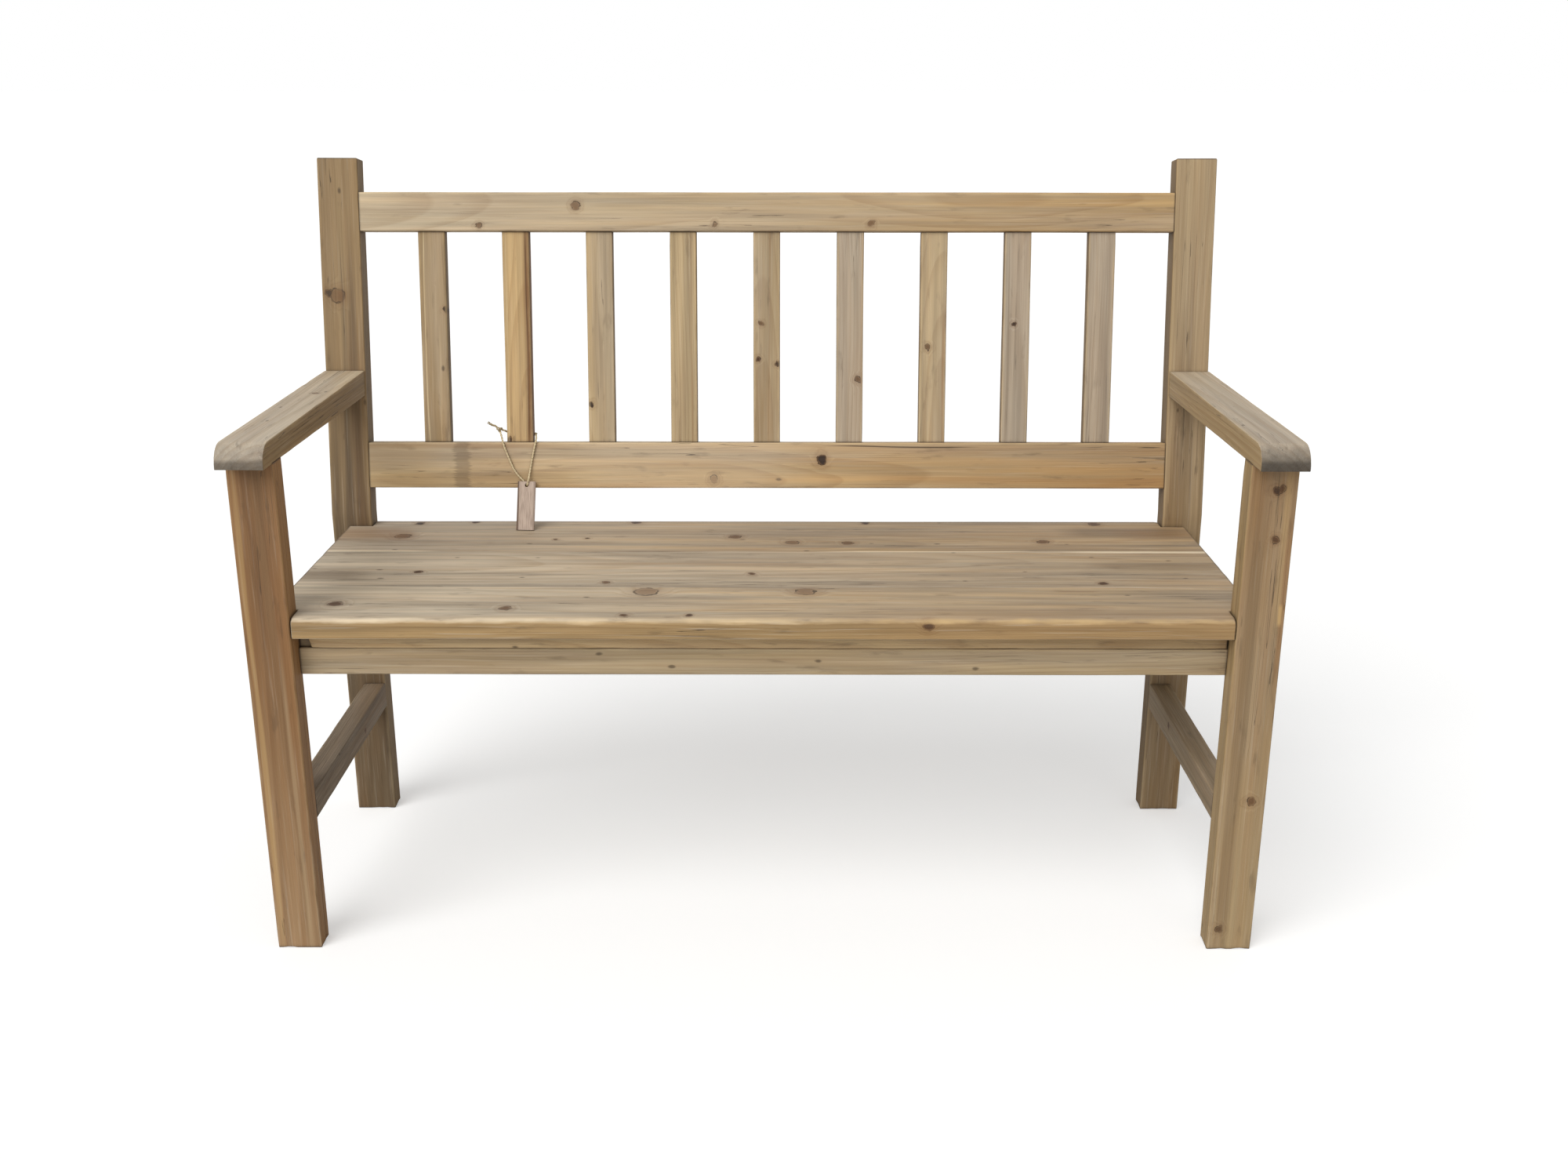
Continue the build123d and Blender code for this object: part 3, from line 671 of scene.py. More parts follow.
def wear(bm, board):
    """Gives the faces their unevenness, which repeats every 70 mm and every 170 mm along the grain, the
    edges their dents, every 18 and 26 mm, and a dragged foot its chips, every 12 mm."""
    s = sizes()
    own = Vector((board.seed * 3.1, board.seed * 1.7, board.seed * 2.3))
    moves = []
    for v in bm.verts:
        if board.glued(v.co.x, 0.0006):
            continue
        lie = noise.noise(Vector((v.co.x * 14, v.co.y * 14, v.co.z * 6)) + own) * s.hollow
        on_an_edge = max(abs(n) for n in v.normal) < 0.985
        if on_an_edge:
            dent = noise.noise(Vector((v.co.x * 55, v.co.y * 55, v.co.z * 38)) + own)
            lie -= max(0.0, dent) * s.edge_wear
        move = v.normal * lie
        if board.chipped and v.co.z < 0.0015:
            chip = noise.noise(Vector((v.co.x * 85, v.co.y * 85, 0)) + own)
            move.z = max(0.0, chip + 0.05) * board.chipped * MM
        moves.append((v, move))
    for v, move in moves:
        v.co += move


def make_board(board):
    """Saws, eases and wears one board, and lays it in its place."""
    bm = bmesh.new()
    saw(bm, board)
    divide(bm, board)
    wear(bm, board)
    mesh = bpy.data.meshes.new(board.piece)
    bm.to_mesh(mesh)
    bm.free()
    mesh.transform(board.place)
    mesh.shade_smooth()
    piece = new_object(board.piece, mesh)
    mesh.set_sharp_from_angle(angle=radians(50))
    even = piece.modifiers.new("even faces", "WEIGHTED_NORMAL")
    even.keep_sharp = True
    mesh.materials.append(weathered_softwood(board))
    if not board.spare:
        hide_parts(board.node)
    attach(piece, "root")


# Places of the frame, in millimetres in the frame of the solid model: the fronts of the legs and posts, the
# height where the posts kink, the legs' inner sides and middles, and the tops of the seat and the arms.
LEG_FRONT, POST_FRONT, KINK = -238.18, 157.82, 446.0
LEG_IN, LEG_MID = 546.0, 573.0
SEAT_TOP, ARM_TOP = 429.5, 639
# Sizes of the stock: the legs' and posts' width and depth, and the depth of the back's rails.
STOCK, STOCK_DEEP, RAIL_DEEP = 54, 33, 27
# The boards' axes: across the face that shows, into the wood, and along the grain.
ALONG_X = ((0, 0, -1), (0, 1, 0), (1, 0, 0))
UPRIGHT = ((1, 0, 0), (0, 1, 0), (0, 0, 1))
LYING = ((0, -1, 0), (0, 0, -1), (1, 0, 0))
ARM_AXES = ((1, 0, 0), (0, 0, -1), (0, 1, 0))
BEARER_AXES = ((-1, 0, 0), (0, 0, 1), (0, 1, 0))


def raked_axes():
    """The back's plane: across its face downwards, into the wood, and along X."""
    lean = sizes().rake
    return (0, -sin(lean), -cos(lean)), (0, cos(lean), -sin(lean)), (1, 0, 0)


def on_back(x, up, deep):
    """A point of the back: up its front plane from the kink, and deep behind it."""
    lean = sizes().rake
    return x, POST_FRONT + up * sin(lean) + deep * cos(lean), KINK + up * cos(lean) - deep * sin(lean)


def leg_boards():
    size = (STOCK, STOCK_DEEP, 612.5)
    look = dict(pins=0.1, rub=0.15, contrast=0.6, chipped=2.6, slot="leg_wood")
    return [
        # Each leg turns darker towards its top: partly painted shadow of the arm above it.
        Board("front_leg_left", (-LEG_MID, LEG_FRONT, 0), UPRIGHT, size, ("umber", "rail", 0.3),
            far_tone=("umber", "grime", 0.12), turn=(0, 0.6), side_tone=("umber", "honey", 0.12),
            pith=(18, 60), pitch=1.9, grey=0.06, figure=0.4, streaks=[(-19, -60, 680, 5, "honey", 0.4),
                (6, 200, 700, 10, "shade", 0.25), (14, -60, 420, 6, "rail", 0.25),
                (-2, 380, 900, 30, "grime", 0.12)], **look),
        Board("front_leg_right", (LEG_MID, LEG_FRONT, 0), UPRIGHT, size, ("leg", "rail", 0.25),
            far_tone=("post", "umber", 0.5), side_tone=("leg", "rail", 0.1), pith=(30, 50), pitch=2.2,
            grey=0.2, figure=0.3, streaks=[(-12, -100, 640, 13, "shade", 0.42),
                (16, 400, 640, 8, "honey", 0.3), (23, 330, 560, 8, "umber", 0.5),
                (20, 420, 450, 6, "honey", 0.6)], knots=[(3, 583, 5, 0.8), (9, 584, 4, 0.7),
                (7, 526, 4, 0.7), (10, 200, 5.5, 0.6), (-14, 28, 5, 0.7)], **look),
    ]


def post_boards():
    lean, thick, height = sizes().rake, STOCK_DEEP, 916
    top = (height - KINK) / cos(lean)
    front = [(0, 0), (0, KINK), (top * sin(lean), KINK + top * cos(lean))]
    back = [
        (top * sin(lean) + thick * cos(lean), KINK + top * cos(lean) - thick * sin(lean)),
        (thick, KINK - thick * tan(lean / 2)),
        (thick, 0),
    ]
    size = (STOCK, thick, height)
    look = dict(outline=("yz", front + back, -STOCK / 2, STOCK / 2), kink=(KINK, tan(lean)), rub=0.2,
        chipped=2, side_tone=("post", "shade", 0.6), pitch=1.8, figure=0.25, slot="leg_wood")
    return [
        # Each post is darker low down, below the arm and the seat, than above the arm: partly painted
        # shadow of the arm and the seat.
        Board("rear_post_left", (-LEG_MID, POST_FRONT, 0), UPRIGHT, size, ("post", "grime", 0.68),
            turn=(0.48, 0.85), far_tone=("post", "rail", 0.07), contrast=0.55, pith=(-30, 80), grey=0.1,
            streaks=[(-17, 480, 1100, 20, "shade", 0.3)], knots=[(-18, 742, 5, 0.9), (-6, 738, 9, 0.4)],
            **look),
        Board("rear_post_right", (LEG_MID, POST_FRONT, 0), UPRIGHT, size, ("post", "shade", 0.2),
            turn=(0.5, 0.75), far_tone=("post", "rail", 0.32), contrast=0.7, pith=(55, 60), grey=0.2,
            knots=[(8, 330, 5, 0.6)], **look),
    ]


def arm_boards():
    """The arms thin towards their rounded noses. The legs stand up to their undersides."""
    lean, nose, thin, under, over_leg = sizes().rake, 24.5, 27, 33, 30
    start = LEG_FRONT - over_leg
    rear_top = POST_FRONT + (ARM_TOP - KINK) * tan(lean) - start
    rear_low = POST_FRONT + (ARM_TOP - under - KINK) * tan(lean) - start
    arc = [(nose * (1 - cos(radians(a))), nose * (1 - sin(radians(a)))) for a in range(0, 91, 9)]
    shape = ("yz", arc + [(thin, 0), (under, rear_low), (0, rear_top)], -STOCK / 2, STOCK / 2)
    size, out = (STOCK, under, rear_top), 574.5
    look = dict(grey=0.6, outline=shape, slot="arm_wood", rub=0.3, pitch=2.2, figure=0.42, contrast=0.7)
    return [
        Board("arm_left", (-out, start, ARM_TOP), ARM_AXES, size, ("ash", "chalk", 0.5), pith=(30, 62),
            far_tone=("ash", "worn", 0.5), side_tone=("post", "rail", 0.07), end_dark=0.28,
            knots=[(4, 300, 4, 0.5)], **look),
        Board("arm_right", (out, start, ARM_TOP), ARM_AXES, size, ("ash", "chalk", 0.15), pith=(-34, 66),
            far_tone=("ash", "worn", 0.3), side_tone=("slat", "post", 0.45), end_dark=0.64, **look),
    ]


def back_boards():
    wide, lean = 2 * LEG_IN, sizes().rake
    low_start, low_stop, top_start, top_stop = [(z - KINK) / cos(lean) for z in (482, 543.4, 822, 872.2)]
    made = [
        Board("top_rail", on_back(-LEG_IN, (top_start + top_stop) / 2, 0), raked_axes(),
            (top_stop - top_start, RAIL_DEEP, wide), ("rail", "chalk", 0.25),
            far_tone=("honey", "post", 0.45), pith=(-20, 130), grey=0.4, rub_side=-1, slot="rail_wood",
            pins=0.12, knots=[(-8, 290, 5, 0.5), (18, 160, 3.5, 0.5), (16, 476, 3.5, 0.45),
                (15, 686, 4, 0.5)]),
        Board("lower_back_rail", on_back(-LEG_IN, (low_start + low_stop) / 2, 0), raked_axes(),
            (low_stop - low_start, RAIL_DEEP, wide), ("worn", "honey", 0.42),
            far_tone=("honey", "umber", 0.5), pith=(14, 120), pitch=1.1, grey=0.68, grey_fade=0.85,
            grey_side=-0.9, rub_side=-1, sticker=128, streaks=[(-26, 620, 840, 1.8, "bark", 0.8),
                (20, 700, 1200, 7, "umber", 0.3), (-26, -80, 300, 6, "umber", 0.4),
                (-12, -200, 460, 7, "shade", 0.2), (0, -60, 105, 90, "honey", 0.22),
                (0, 120, 215, 90, "umber", 0.13), (0, 270, 610, 90, "chalk", 0.16)], slot="rail_wood",
            pins=0.12, knots=[(-8, 621, 6.5, 1), (19, 474, 5, 0.25)]),
    ]
    slats = [
        dict(tone=("slat", "post", 0.65), pith=(4, 60), pitch=1.1, knots=[(16, 178, 3.6, 1)],
            streaks=[(-11, -60, 340, 1.6, "worn", 0.55), (8, -80, 170, 1.3, "worn", 0.3),
                (17.5, -60, 340, 2.5, "shade", 0.5)]),
        dict(tone=("honey", "slat", 0.35), pith=(30, 120), pitch=0.9, grey=0.15, knots=[(-14, 4, 3.5, 0.8)],
            streaks=[(15, -60, 340, 9, "knot", 0.9), (12.6, -40, 320, 1.8, "bark", 0.5),
                (-14, -60, 340, 1.5, "worn", 0.4)]),
        dict(tone=("slat", "rail", 0.15), pith=(-26, 110), grey_side=0.3, knots=[(-14, 52, 3.4, 1)]),
        dict(tone=("slat", "rail", 0.05), pith=(60, 80), pitch=0.8, grey=0.15,
            streaks=[(10, -60, 340, 2.2, "umber", 0.25)]),
        dict(tone=("slat", "post", 0.25), pith=(-12, 70), streaks=[(2, -60, 340, 3, "umber", 0.25)],
            knots=[(-8, 161, 3.2, 0.6), (-12, 113, 3.2, 0.8), (14, 107, 3, 0.9)]),
        dict(tone=("ash", "post", 0.22), pith=(-50, 90), pitch=0.75, grey_side=-0.6,
            knots=[(11, 86, 4.5, 0.6)]),
        dict(tone=("slat", "post", 0.1), pith=(20, 130), pitch=0.9, grey_side=0.2,
            knots=[(-7, 129, 4, 0.6)], streaks=[(14, -60, 200, 3, "umber", 0.45)]),
        dict(tone=("ash", "post", 0.2), pith=(-8, 90), pitch=1.05, knots=[(-4, 160, 3, 0.9)],
            streaks=[(-12, -60, 340, 2, "shade", 0.3)]),
        dict(tone=("ash", "post", 0.25), pith=(45, 90), pitch=0.8, grey_side=0.2),
    ]
    common = dict(grey=0.45, rub=0.35, pins=0.12, side_tone=("post", "shade", 0.5), slot="slat_wood")
    upright = ((1, 0, 0), raked_axes()[1], (0, sin(lean), cos(lean)))
    spacing, set_back, size = 112.8, 4.5, (36, 18, top_start - low_stop)
    for i, own in enumerate(slats):
        place = on_back(spacing * (i - 4), low_stop, set_back)
        made.append(Board(f"slat_{i + 1}", place, upright, size, **{**common, **own}))
    return made


def seat_boards():
    """The seat's three glued boards. The outer two are notched round the legs and the posts."""
    thick, long, notch, leg_notch, post_notch = 25, 1152, 30.8, 33.8, 25.8
    front, glue_1, glue_2, rear = LEG_FRONT, -116.18, 32.82, 182.82
    looks = {
        # The front board's pale top edge along the nosing is partly painted highlight.
        "front": dict(near=front, far=glue_1, tone=("chalk", "worn", 0.3), far_tone=("seat", "rail", 0.1),
            grey=0.5, pith=(10, 170), rub=1.0, rub_side=1, rubbed=4.5, bare="bleached",
            side_tone=("seat_edge", "post", 0.35), turn=(0.15, 0.6), nosed=True,
            knots=[(-42, 434, 14, 0.35), (-42, 626, 12, 0.35), (21, 273, 7, 0.6), (6, 70, 8, 0.7),
                (46, 415, 5, 0.7), (59, 767, 6, 0.85, 9), (46, 490, 4, 0.8)],
            streaks=[(-46, 925, 985, 4, "knot", 0.5), (30, 500, 620, 2, "grime", 0.4),
                (61, 640, 1300, 90, "umber", 0.2)]),
        "middle": dict(near=glue_1, far=glue_2, tone=("chalk", "worn", 0.25),
            far_tone=("seat", "post", 0.2), grey=0.5, pith=(-30, 190), rub=0.0,
            side_tone=("seat_edge", "frame", 0.2), knots=[(59, 993, 5, 0.8), (57, 381, 5, 0.6),
                (15, 140, 5, 0.8), (20, 560, 5, 0.7)], streaks=[(48, 40, 110, 5, "grime", 0.5),
                (-10, 980, 1180, 26, "shade", 0.4), (-74, 950, 1260, 5, "bleached", 0.9),
                (72.5, -40, 60, 6, "bleached", 0.7), (28, -90, 90, 40, "shade", 0.45),
                (-20, 180, 700, 9, "umber", 0.22)]),
        "rear": dict(near=glue_2, far=rear, tone=("chalk", "seat", 0.3), far_tone=("seat", "post", 0.4),
            grey=0.45, pith=(30, 160), rub=0.2, rub_side=-1, side_tone=("seat_edge", "frame", 0.2),
            turn=(0, 0.6), knots=[(3, 85, 11, 0.6), (4, 534, 8, 0.6), (33, 685, 7, 0.6), (27, 946, 8, 0.6),
                (30, 611, 8, 0.5), (12, 335, 3.5, 0.8), (18, 293, 3, 0.6), (-62, 94, 6, 0.9),
                (-68, 170, 5, 0.8), (-68, 394, 7, 0.8), (-66, 713, 6, 0.9), (-62, 1030, 8, 0.7)],
            streaks=[(-72, -300, 1452, 5, "grime", 0.55), (-20, 970, 1160, 40, "shade", 0.5),
                (73, -50, 150, 6, "bleached", 0.9), (73, 640, 960, 5, "bleached", 0.75),
                (73, 930, 1270, 6, "bleached", 0.9), (-10, -100, 110, 56, "umber", 0.5),
                (-10, 1040, 1260, 50, "umber", 0.3)]),
    }
    made = []
    for name, look in looks.items():
        near, far = look.pop("near"), look.pop("far")
        wide = far - near
        half = wide / 2
        side = {"front": half, "middle": half, "rear": -half}[name]
        outline = [(-side, 0), (side, 0), (side, long), (-side, long)]
        if name != "middle":
            step = half - leg_notch if name == "front" else post_notch - half
            outline = [(-side, 0), (step, 0), (step, notch), (side, notch), (side, long - notch),
                       (step, long - notch), (step, long), (-side, long)]
        look["tight"] = {"front": (-half,), "middle": (-half, half), "rear": (half,)}[name]
        place = (-long / 2, (far + near) / 2, SEAT_TOP)
        made.append(
            Board(f"seat_board_{name}", place, LYING, (wide, thick, long), pitch=1.25, contrast=1.05,
                mottle=0.15, pins=0.25, scuffed=0.3, outline=("xz", outline, 0, thick), slot="seat_wood",
                **look)
        )
    return made


def frame_boards():
    """The frame under the seat. A board's height is that of the middle of the face that shows."""
    near, rail_front, wide = LEG_FRONT + STOCK_DEEP, -212.18, 2 * LEG_IN
    rail_height, batten_height, hidden_height = 367.5, 394.25, 377.75
    bearer_height, stretcher_height, hidden_deep = 351, 178.5, 53.5
    run = POST_FRONT - near
    hidden = ("shade", "frame", 0.4)
    # The batten: half its width, its length, and how far its broken end slants.
    half, long, slant = 10.25, 1081, 5
    batten = [(-half, 0), (half, slant), (half, long), (-half, long)]
    made = [
        Board("front_rail", (-LEG_IN, rail_front, rail_height), ALONG_X, (33, 33, wide),
            ("frame", "rail", 0.3), far_tone=("frame", "rail", 0.1), pith=(-50, 90), pitch=0.8, rub=0.25,
            rub_side=-1),
        # The batten's pale tone is partly painted light, lifting it out of the shadow of the seat's
        # overhang.
        Board("front_batten", (-536.5, rail_front, batten_height), ALONG_X, (2 * half, 33, long),
            ("rail", "honey", 0.35), far_tone=("honey", "frame", 0.45), pith=(20, 120), pitch=0.8, grey=0.2,
            rub=0.0, outline=("xz", batten, 0, 33)),
        # What is left of the batten's broken end, behind its face. Its dark tone is painted shade: it
        # stands for the shaded recess at the batten's end.
        Board("front_batten_stub", (-545.6, rail_front + 5, batten_height), ALONG_X, (2 * half, 24, 14),
            ("frame", "shade", 0.5), rub=0.0, pins=0.0, spare=True),
        Board("rear_seat_rail", (-LEG_IN, 160.82, hidden_height), ALONG_X, (hidden_deep, RAIL_DEEP, wide),
            hidden, knots=[(8, 240, 5, 0.8), (-10, 870, 6, 0.8)], pith=(15, 100), rub=0.2),
        Board("seat_bearer", (0, near + 26, bearer_height), BEARER_AXES, (33, hidden_deep, 340), hidden,
            pith=(5, 90), rub=0.2),
    ]
    # The left stretcher is darker and the right one paler: partly painted shade and light, as the light
    # comes from the left onto the right one's inner face.
    lows = {"left": ("shade", "grime", 0.12), "right": ("shade", "frame", 0.42)}
    for side, x, inward, up in (("left", -576, 1, 1), ("right", 576, -1, -1)):
        axes = ((0, 0, up), (inward, 0, 0), (0, 1, 0))
        made += [
            Board(f"side_seat_rail_{side}", (x, near, hidden_height), axes, (hidden_deep, 30, run), hidden,
                knots=[(6, 130, 5, 0.8)], pith=(-20, 90), rub=0.2),
            Board(f"stretcher_{side}", (x, near, stretcher_height), axes, (35, 30, run), lows[side],
                knots=[(-5, 240, 4, 0.7)], pith=(25, 70), pitch=0.9, rub=0.2, grey=0.3),
        ]
    return made


# twine and tag

# The route of the twine, in metres: from the knot down to the tag's hole, up again and round the back of
# the slat.
TWINE_ROUTE = (
    (-0.3645, 0.1759, 0.5577), (-0.3627, 0.1735, 0.5520), (-0.3600, 0.1710, 0.5393),
    (-0.3530, 0.1680, 0.5216), (-0.3452, 0.1652, 0.5033), (-0.3350, 0.1640, 0.4927),
    (-0.3282, 0.1611, 0.4859), (-0.3283, 0.1557, 0.4882), (-0.3266, 0.1585, 0.4942),
    (-0.3250, 0.1652, 0.5038), (-0.3216, 0.1681, 0.5216), (-0.3178, 0.1708, 0.5383),
    (-0.3156, 0.1730, 0.5470), (-0.3158, 0.1799, 0.5501), (-0.3185, 0.1887, 0.5515),
    (-0.3178, 0.2008, 0.5503), (-0.3404, 0.2005, 0.5518), (-0.3590, 0.2012, 0.5523),
    (-0.3584, 0.1877, 0.5559), (-0.3598, 0.1811, 0.5586), (-0.3628, 0.1791, 0.5597),
)
TAIL_ROUTE = (
    (-0.3680, 0.1776, 0.5624), (-0.3710, 0.1779, 0.5662), (-0.3756, 0.1783, 0.5660),
    (-0.3812, 0.1781, 0.5706),
)
KNOT_MIDDLE = Vector((-0.3655, 0.1772, 0.5607))


def smooth_line(name, points):
    """A curve of one open spline on those control points."""
    line = bpy.data.curves.new(name, "CURVE")
    line.dimensions = "3D"
    spline = line.splines.new("NURBS")
    spline.points.add(len(points) - 1)
    for spot, at in zip(spline.points, points):
        spot.co = (*at, 1)
    spline.order_u = 3
    spline.use_endpoint_u = True
    line.resolution_u = 10
    return new_object(name, line)


def points_along(line):
    """The points of a curve that has no bevel, in order."""
    bpy.context.view_layer.update()
    mesh = bpy.data.meshes.new_from_object(line)
    found = [v.co.copy() for v in mesh.vertices]
    bpy.data.meshes.remove(mesh)
    return found


def lay_plies(name, path, radius, thick, pitch, plies, finish, spread=0.0):
    """Yarns twisted round a path. With spread, they open out towards its end, as at a cut end."""
    bm = bmesh.new()
    sides = 8
    side_way = (path[1] - path[0]).orthogonal().normalized()
    run, frames = 0.0, []
    for i, at in enumerate(path):
        ahead = (path[min(i + 1, len(path) - 1)] - path[max(i - 1, 0)]).normalized()
        side_way = (side_way - ahead * side_way.dot(ahead)).normalized()
        if i:
            run += (at - path[i - 1]).length
        frames.append((at, side_way.copy(), ahead.cross(side_way), run))
    for ply in range(plies):
        rings = []
        for at, side, other, done in frames:
            opening = spread * (done / run) ** 2
            turn = 2 * pi * (done / pitch + ply / plies)
            centre = at + (side * cos(turn) + other * sin(turn)) * radius * (1 + opening)
            yarn = thick * (1 - 0.15 * opening)
            angles = [2 * pi * k / sides for k in range(sides)]
            rings.append([bm.verts.new(centre + (side * cos(a) + other * sin(a)) * yarn) for a in angles])
        for one, two in zip(rings, rings[1:]):
            for k in range(sides):
                bm.faces.new((one[k], one[(k + 1) % sides], two[(k + 1) % sides], two[k]))
        bm.faces.new(reversed(rings[0]))
        bm.faces.new(rings[-1])
    mesh = bpy.data.meshes.new(name)
    bm.to_mesh(mesh)
    bm.free()
    mesh.shade_smooth()
    mesh.materials.append(finish)
    return new_object(name, mesh)


# operators


class SETTLE_OT_stage(bpy.types.Operator):
    """Sets the camera, the pale floor and the soft studio light"""

    bl_idname = "settle.stage"
    bl_label = "Camera, floor and light"

    def set_camera(self, scene):
        # The photograph's view: where its lens stood, in millimetres, how it was turned, and its focal
        # length and middle in the picture's pixels.
        stand = Vector((26.8, -1762.5 + LEG_FRONT, 1036.7)) * MM
        yaw, pitch, roll = 0.00205, -0.32607, 0.00074
        focal, centre, picture, sensor = 2066.6, (998.7, 778.2), (2000, 1478), 36
        ahead = Vector((-sin(yaw) * cos(pitch), cos(yaw) * cos(pitch), sin(pitch)))
        right = Vector((cos(yaw), sin(yaw), 0))
        up = right.cross(ahead)
        right, up = right * cos(roll) + up * sin(roll), up * cos(roll) - right * sin(roll)
        lens = bpy.data.cameras.new("view of the settle")
        lens.sensor_fit, lens.sensor_width = "HORIZONTAL", sensor
        lens.lens = focal / picture[0] * sensor
        lens.shift_x = (picture[0] / 2 - centre[0]) / picture[0]
        lens.shift_y = (centre[1] - picture[1] / 2) / picture[0]
        lens.clip_start, lens.clip_end = 0.05, 200
        camera = new_object("view of the settle", lens)
        camera.matrix_world = Matrix.Translation(stand) @ Matrix((right, up, -ahead)).transposed().to_4x4()
        scene.camera = camera
        scene.view_settings.view_transform = "Standard"

    def lay_floor(self):
        ground = bpy.data.meshes.new("floor")
        bm = bmesh.new()
        bmesh.ops.create_grid(bm, x_segments=4, y_segments=4, size=60)
        bm.to_mesh(ground)
        bm.free()
        floor = new_object("floor", ground)
        floor.location.z = -0.0002
        ground.materials.append(matt_paper())

    def light(self, scene):
        # The air is white to the camera and in reflections, and gives the boards a plain level of light.
        world = bpy.data.worlds.new("studio")
        world.use_nodes = True
        world.node_tree.nodes.clear()
        add = partial(add_node, world.node_tree)
        seen = add("LightPath").outputs
        white = seen["Is Camera Ray"]
        for ray in ("Is Glossy Ray", "Is Transmission Ray"):
            white = add("Math", "MAXIMUM", white, seen[ray])
        level = add("MapRange", white, 0, 1, 0.42, 1)
        air = add("Background", inputs={"Color": (1, 1, 1), "Strength": level})
        add("OutputWorld", inputs={"Surface": air})
        scene.world = world
        # Each lamp has a strength, a width, an azimuth and a height, the last three in degrees.
        for name, strength, wide, azimuth, height in (
            ("key lamp", 2.15, 48, -36, 40),
            ("fill lamp", 0.35, 60, 12, 18),
        ):
            lamp = bpy.data.lights.new(name, "SUN")
            lamp.energy, lamp.angle = strength, radians(wide)
            a, h = radians(azimuth), radians(height)
            towards = Vector((sin(a) * cos(h), -cos(a) * cos(h), sin(h)))
            new_object(name, lamp).rotation_euler = towards.to_track_quat("Z", "Y").to_euler()

    def execute(self, context):
        self.set_camera(context.scene)
        self.lay_floor()
        self.light(context.scene)
        return {"FINISHED"}


class SETTLE_OT_twine(bpy.types.Operator):
    """Lays the twine with its knot and its cut tail, and finishes the blank tag that hangs on it"""

    bl_idname = "settle.twine"
    bl_label = "Twine and tag"

    def execute(self, context):
        s = sizes()
        hemp = twisted_hemp("hemp, spun and twisted", 0.0)
        soiled_hemp = twisted_hemp("hemp, spun, twisted and soiled", 0.7)
        radius = s.twine_diameter / 2
        yarn = radius * 0.6
        core = smooth_line("twine_core", TWINE_ROUTE)
        path = points_along(core)
        core.data.bevel_depth = radius * 0.8
        core.data.bevel_resolution = 3
        core.data.materials.append(hemp)
        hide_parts("twine_loop")
        plies = lay_plies("twine_plies", path, yarn, yarn, s.twine_pitch, s.twine_plies, hemp)
        tail_line = smooth_line("twine_tail_line", TAIL_ROUTE)
        path = points_along(tail_line)
        bpy.data.objects.remove(tail_line)
        frayed = s.twine_plies + 1
        tail = lay_plies(
            "twine_tail_plies", path, yarn, yarn, s.twine_pitch, frayed, soiled_hemp, spread=1.0
        )
        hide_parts("twine_tail")

        # An overhand knot, pulled tight: three crossing turns inside the size of the solid knot.
        steps, turn_size, turn_pitch = 40, 0.0014, 0.006
        turns = []
        for t in [2 * pi * i / steps for i in range(steps)]:
            turn = Vector((sin(t) + 1.5 * sin(2 * t), 0.9 * sin(3 * t), cos(t) - 1.5 * cos(2 * t)))
            turns.append(KNOT_MIDDLE + turn * turn_size)
        knot = lay_plies(
            "twine_knot_turns", turns + turns[:1], radius * 0.4, yarn, turn_pitch, 2, soiled_hemp
        )
        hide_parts("twine_knot")

        # The tag leans back on the rail and is swung a little round. Its finish works in its own axes.
        tag = frame["nodes"]["hang_tag"]
        lean, swing = radians(23), radians(2)
        face = Vector((-cos(lean) * sin(swing), -cos(lean) * cos(swing), sin(lean)))
        turn = tag.matrix_world.to_3x3().inverted()
        face = (turn @ face).normalized()
        across = (turn @ Vector((cos(swing), -sin(swing), 0))).normalized()
        reach = [across.dot(v.co) for v in tag.data.vertices]
        tag.data.materials.clear()
        tag.data.materials.append(sawn_tag_wood(face, across, (min(reach), max(reach))))
        for piece in (core, plies, tail, knot):
            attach(piece, "root")
        return {"FINISHED"}


class BoardsOperator:
    """What the operators that make boards share: each names the functions that list its boards."""

    lists = ()

    def execute(self, context):
        boards = [board for made in self.lists for board in made()]
        if not boards:
            raise RuntimeError(f"{self.bl_label}: no board was made")
        for board in boards:
            make_board(board)
        return {"FINISHED"}


class SETTLE_OT_legs(BoardsOperator, bpy.types.Operator):
    """Saws the two front legs and the two kinked rear posts"""

    bl_idname = "settle.legs"
    bl_label = "Legs and posts"
    lists = (leg_boards, post_boards)


class SETTLE_OT_arms(BoardsOperator, bpy.types.Operator):
    """Saws the two flat arms with their rounded noses"""

    bl_idname = "settle.arms"
    bl_label = "Arms"
    lists = (arm_boards,)


class SETTLE_OT_back(BoardsOperator, bpy.types.Operator):
    """Saws the two rails and the nine slats of the back"""

    bl_idname = "settle.back"
    bl_label = "Back"
    lists = (back_boards,)


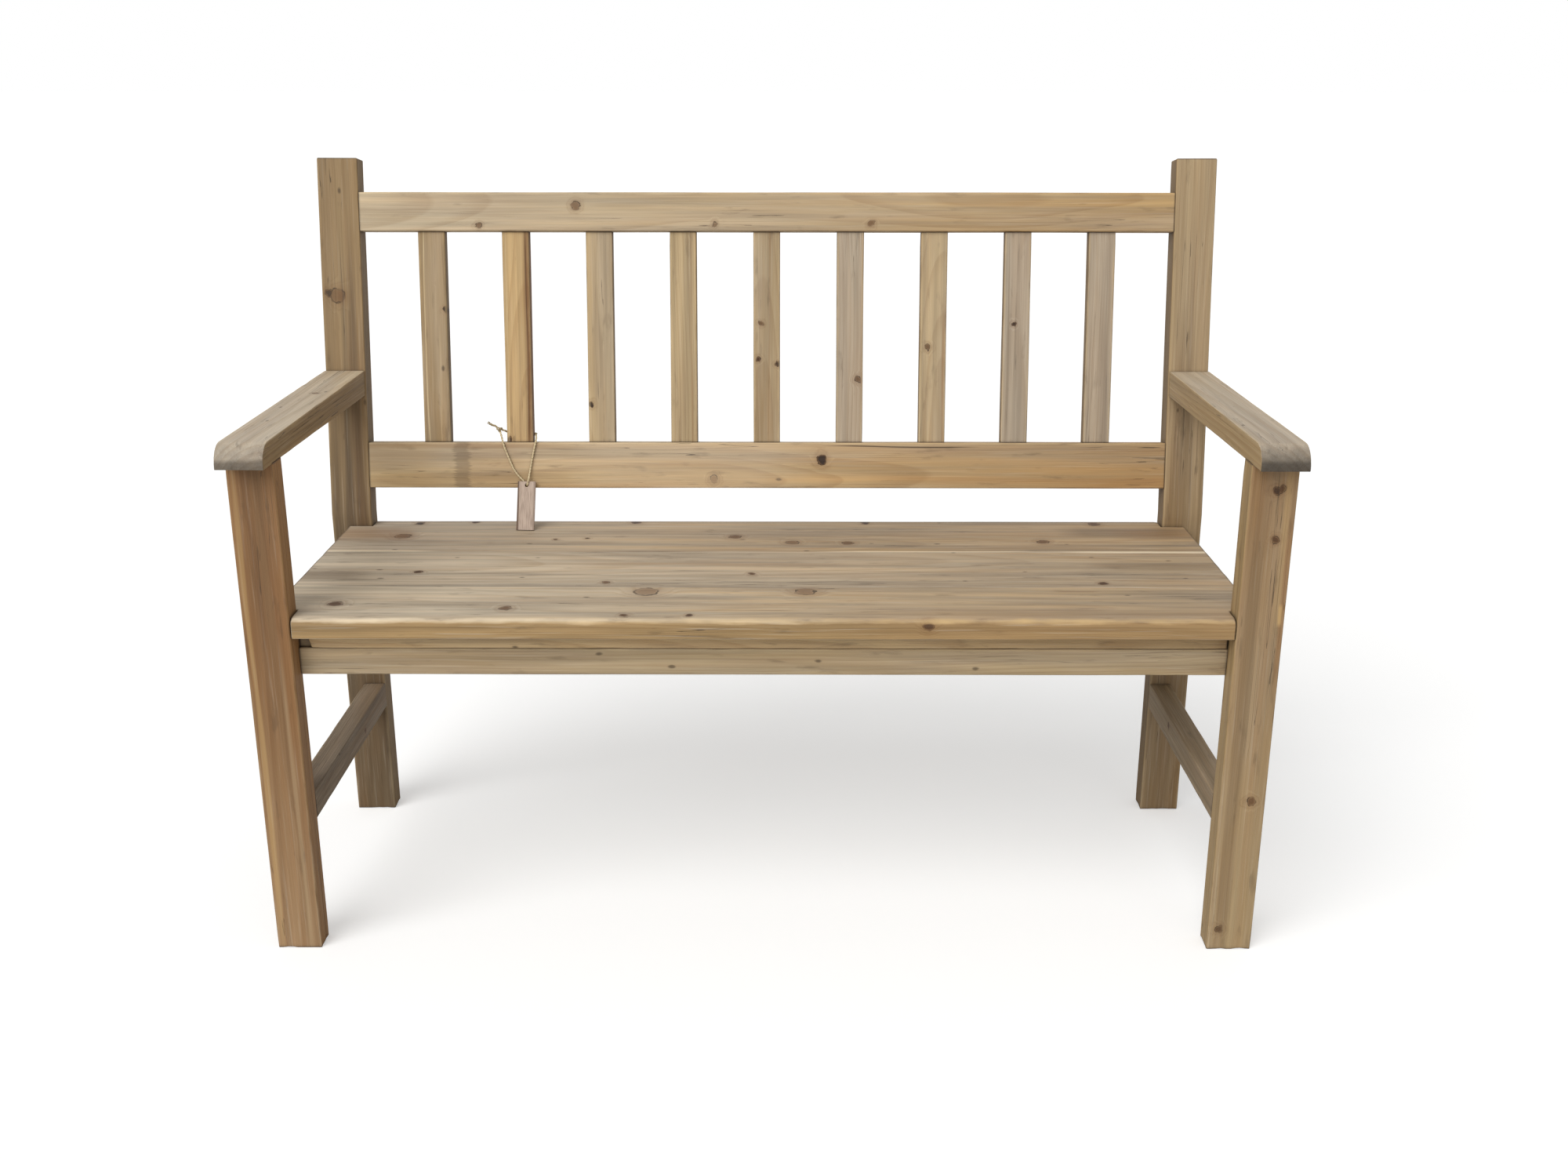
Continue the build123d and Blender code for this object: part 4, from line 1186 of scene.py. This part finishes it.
class SETTLE_OT_seat(BoardsOperator, bpy.types.Operator):
    """Saws the three boards of the seat, notched round the legs and posts"""

    bl_idname = "settle.seat"
    bl_label = "Seat"
    lists = (seat_boards,)


class SETTLE_OT_frame(BoardsOperator, bpy.types.Operator):
    """Saws the rails, the batten, the bearer and the stretchers"""

    bl_idname = "settle.frame"
    bl_label = "Seat frame and stretchers"
    lists = (frame_boards,)


class SETTLE_OT_screws(bpy.types.Operator):
    """Finishes the screws under the seat"""

    bl_idname = "settle.screws"
    bl_label = "Screws"

    def execute(self, context):
        screws = frame["nodes"]["seat_screws"]
        screws.data.materials.clear()
        screws.data.materials.append(turned_steel())
        return {"FINISHED"}


class SETTLE_PT_panel(bpy.types.Panel):
    """The settle's pieces, its sizes and its colours"""

    bl_label = "Mission settle"
    bl_idname = "SETTLE_PT_panel"
    bl_space_type = "VIEW_3D"
    bl_region_type = "UI"
    bl_category = "Settle"

    def draw(self, context):
        for operator in OPERATORS:
            self.layout.operator(operator.bl_idname)
        for group in (context.scene.settle_sizes, context.scene.settle_colours):
            box = self.layout.box()
            for name in group.bl_rna.properties.keys():
                if name not in ("rna_type", "name"):
                    box.prop(group, name)


OPERATORS = (
    SETTLE_OT_stage,
    SETTLE_OT_twine,
    SETTLE_OT_legs,
    SETTLE_OT_arms,
    SETTLE_OT_back,
    SETTLE_OT_seat,
    SETTLE_OT_frame,
    SETTLE_OT_screws,
)
CLASSES = (SettleSizes, SettleColours, *OPERATORS, SETTLE_PT_panel)


def register():
    for cls in CLASSES:
        bpy.utils.register_class(cls)
    bpy.types.Scene.settle_sizes = PointerProperty(type=SettleSizes)
    bpy.types.Scene.settle_colours = PointerProperty(type=SettleColours)


def unregister():
    del bpy.types.Scene.settle_colours
    del bpy.types.Scene.settle_sizes
    for cls in reversed(CLASSES):
        bpy.utils.unregister_class(cls)


def main():
    register()
    bpy.ops.settle.stage()
    bpy.ops.settle.twine()
    bpy.ops.settle.legs()
    bpy.ops.settle.arms()
    bpy.ops.settle.back()
    bpy.ops.settle.seat()
    bpy.ops.settle.frame()
    bpy.ops.settle.screws()


if __name__ == "__main__":
    main()
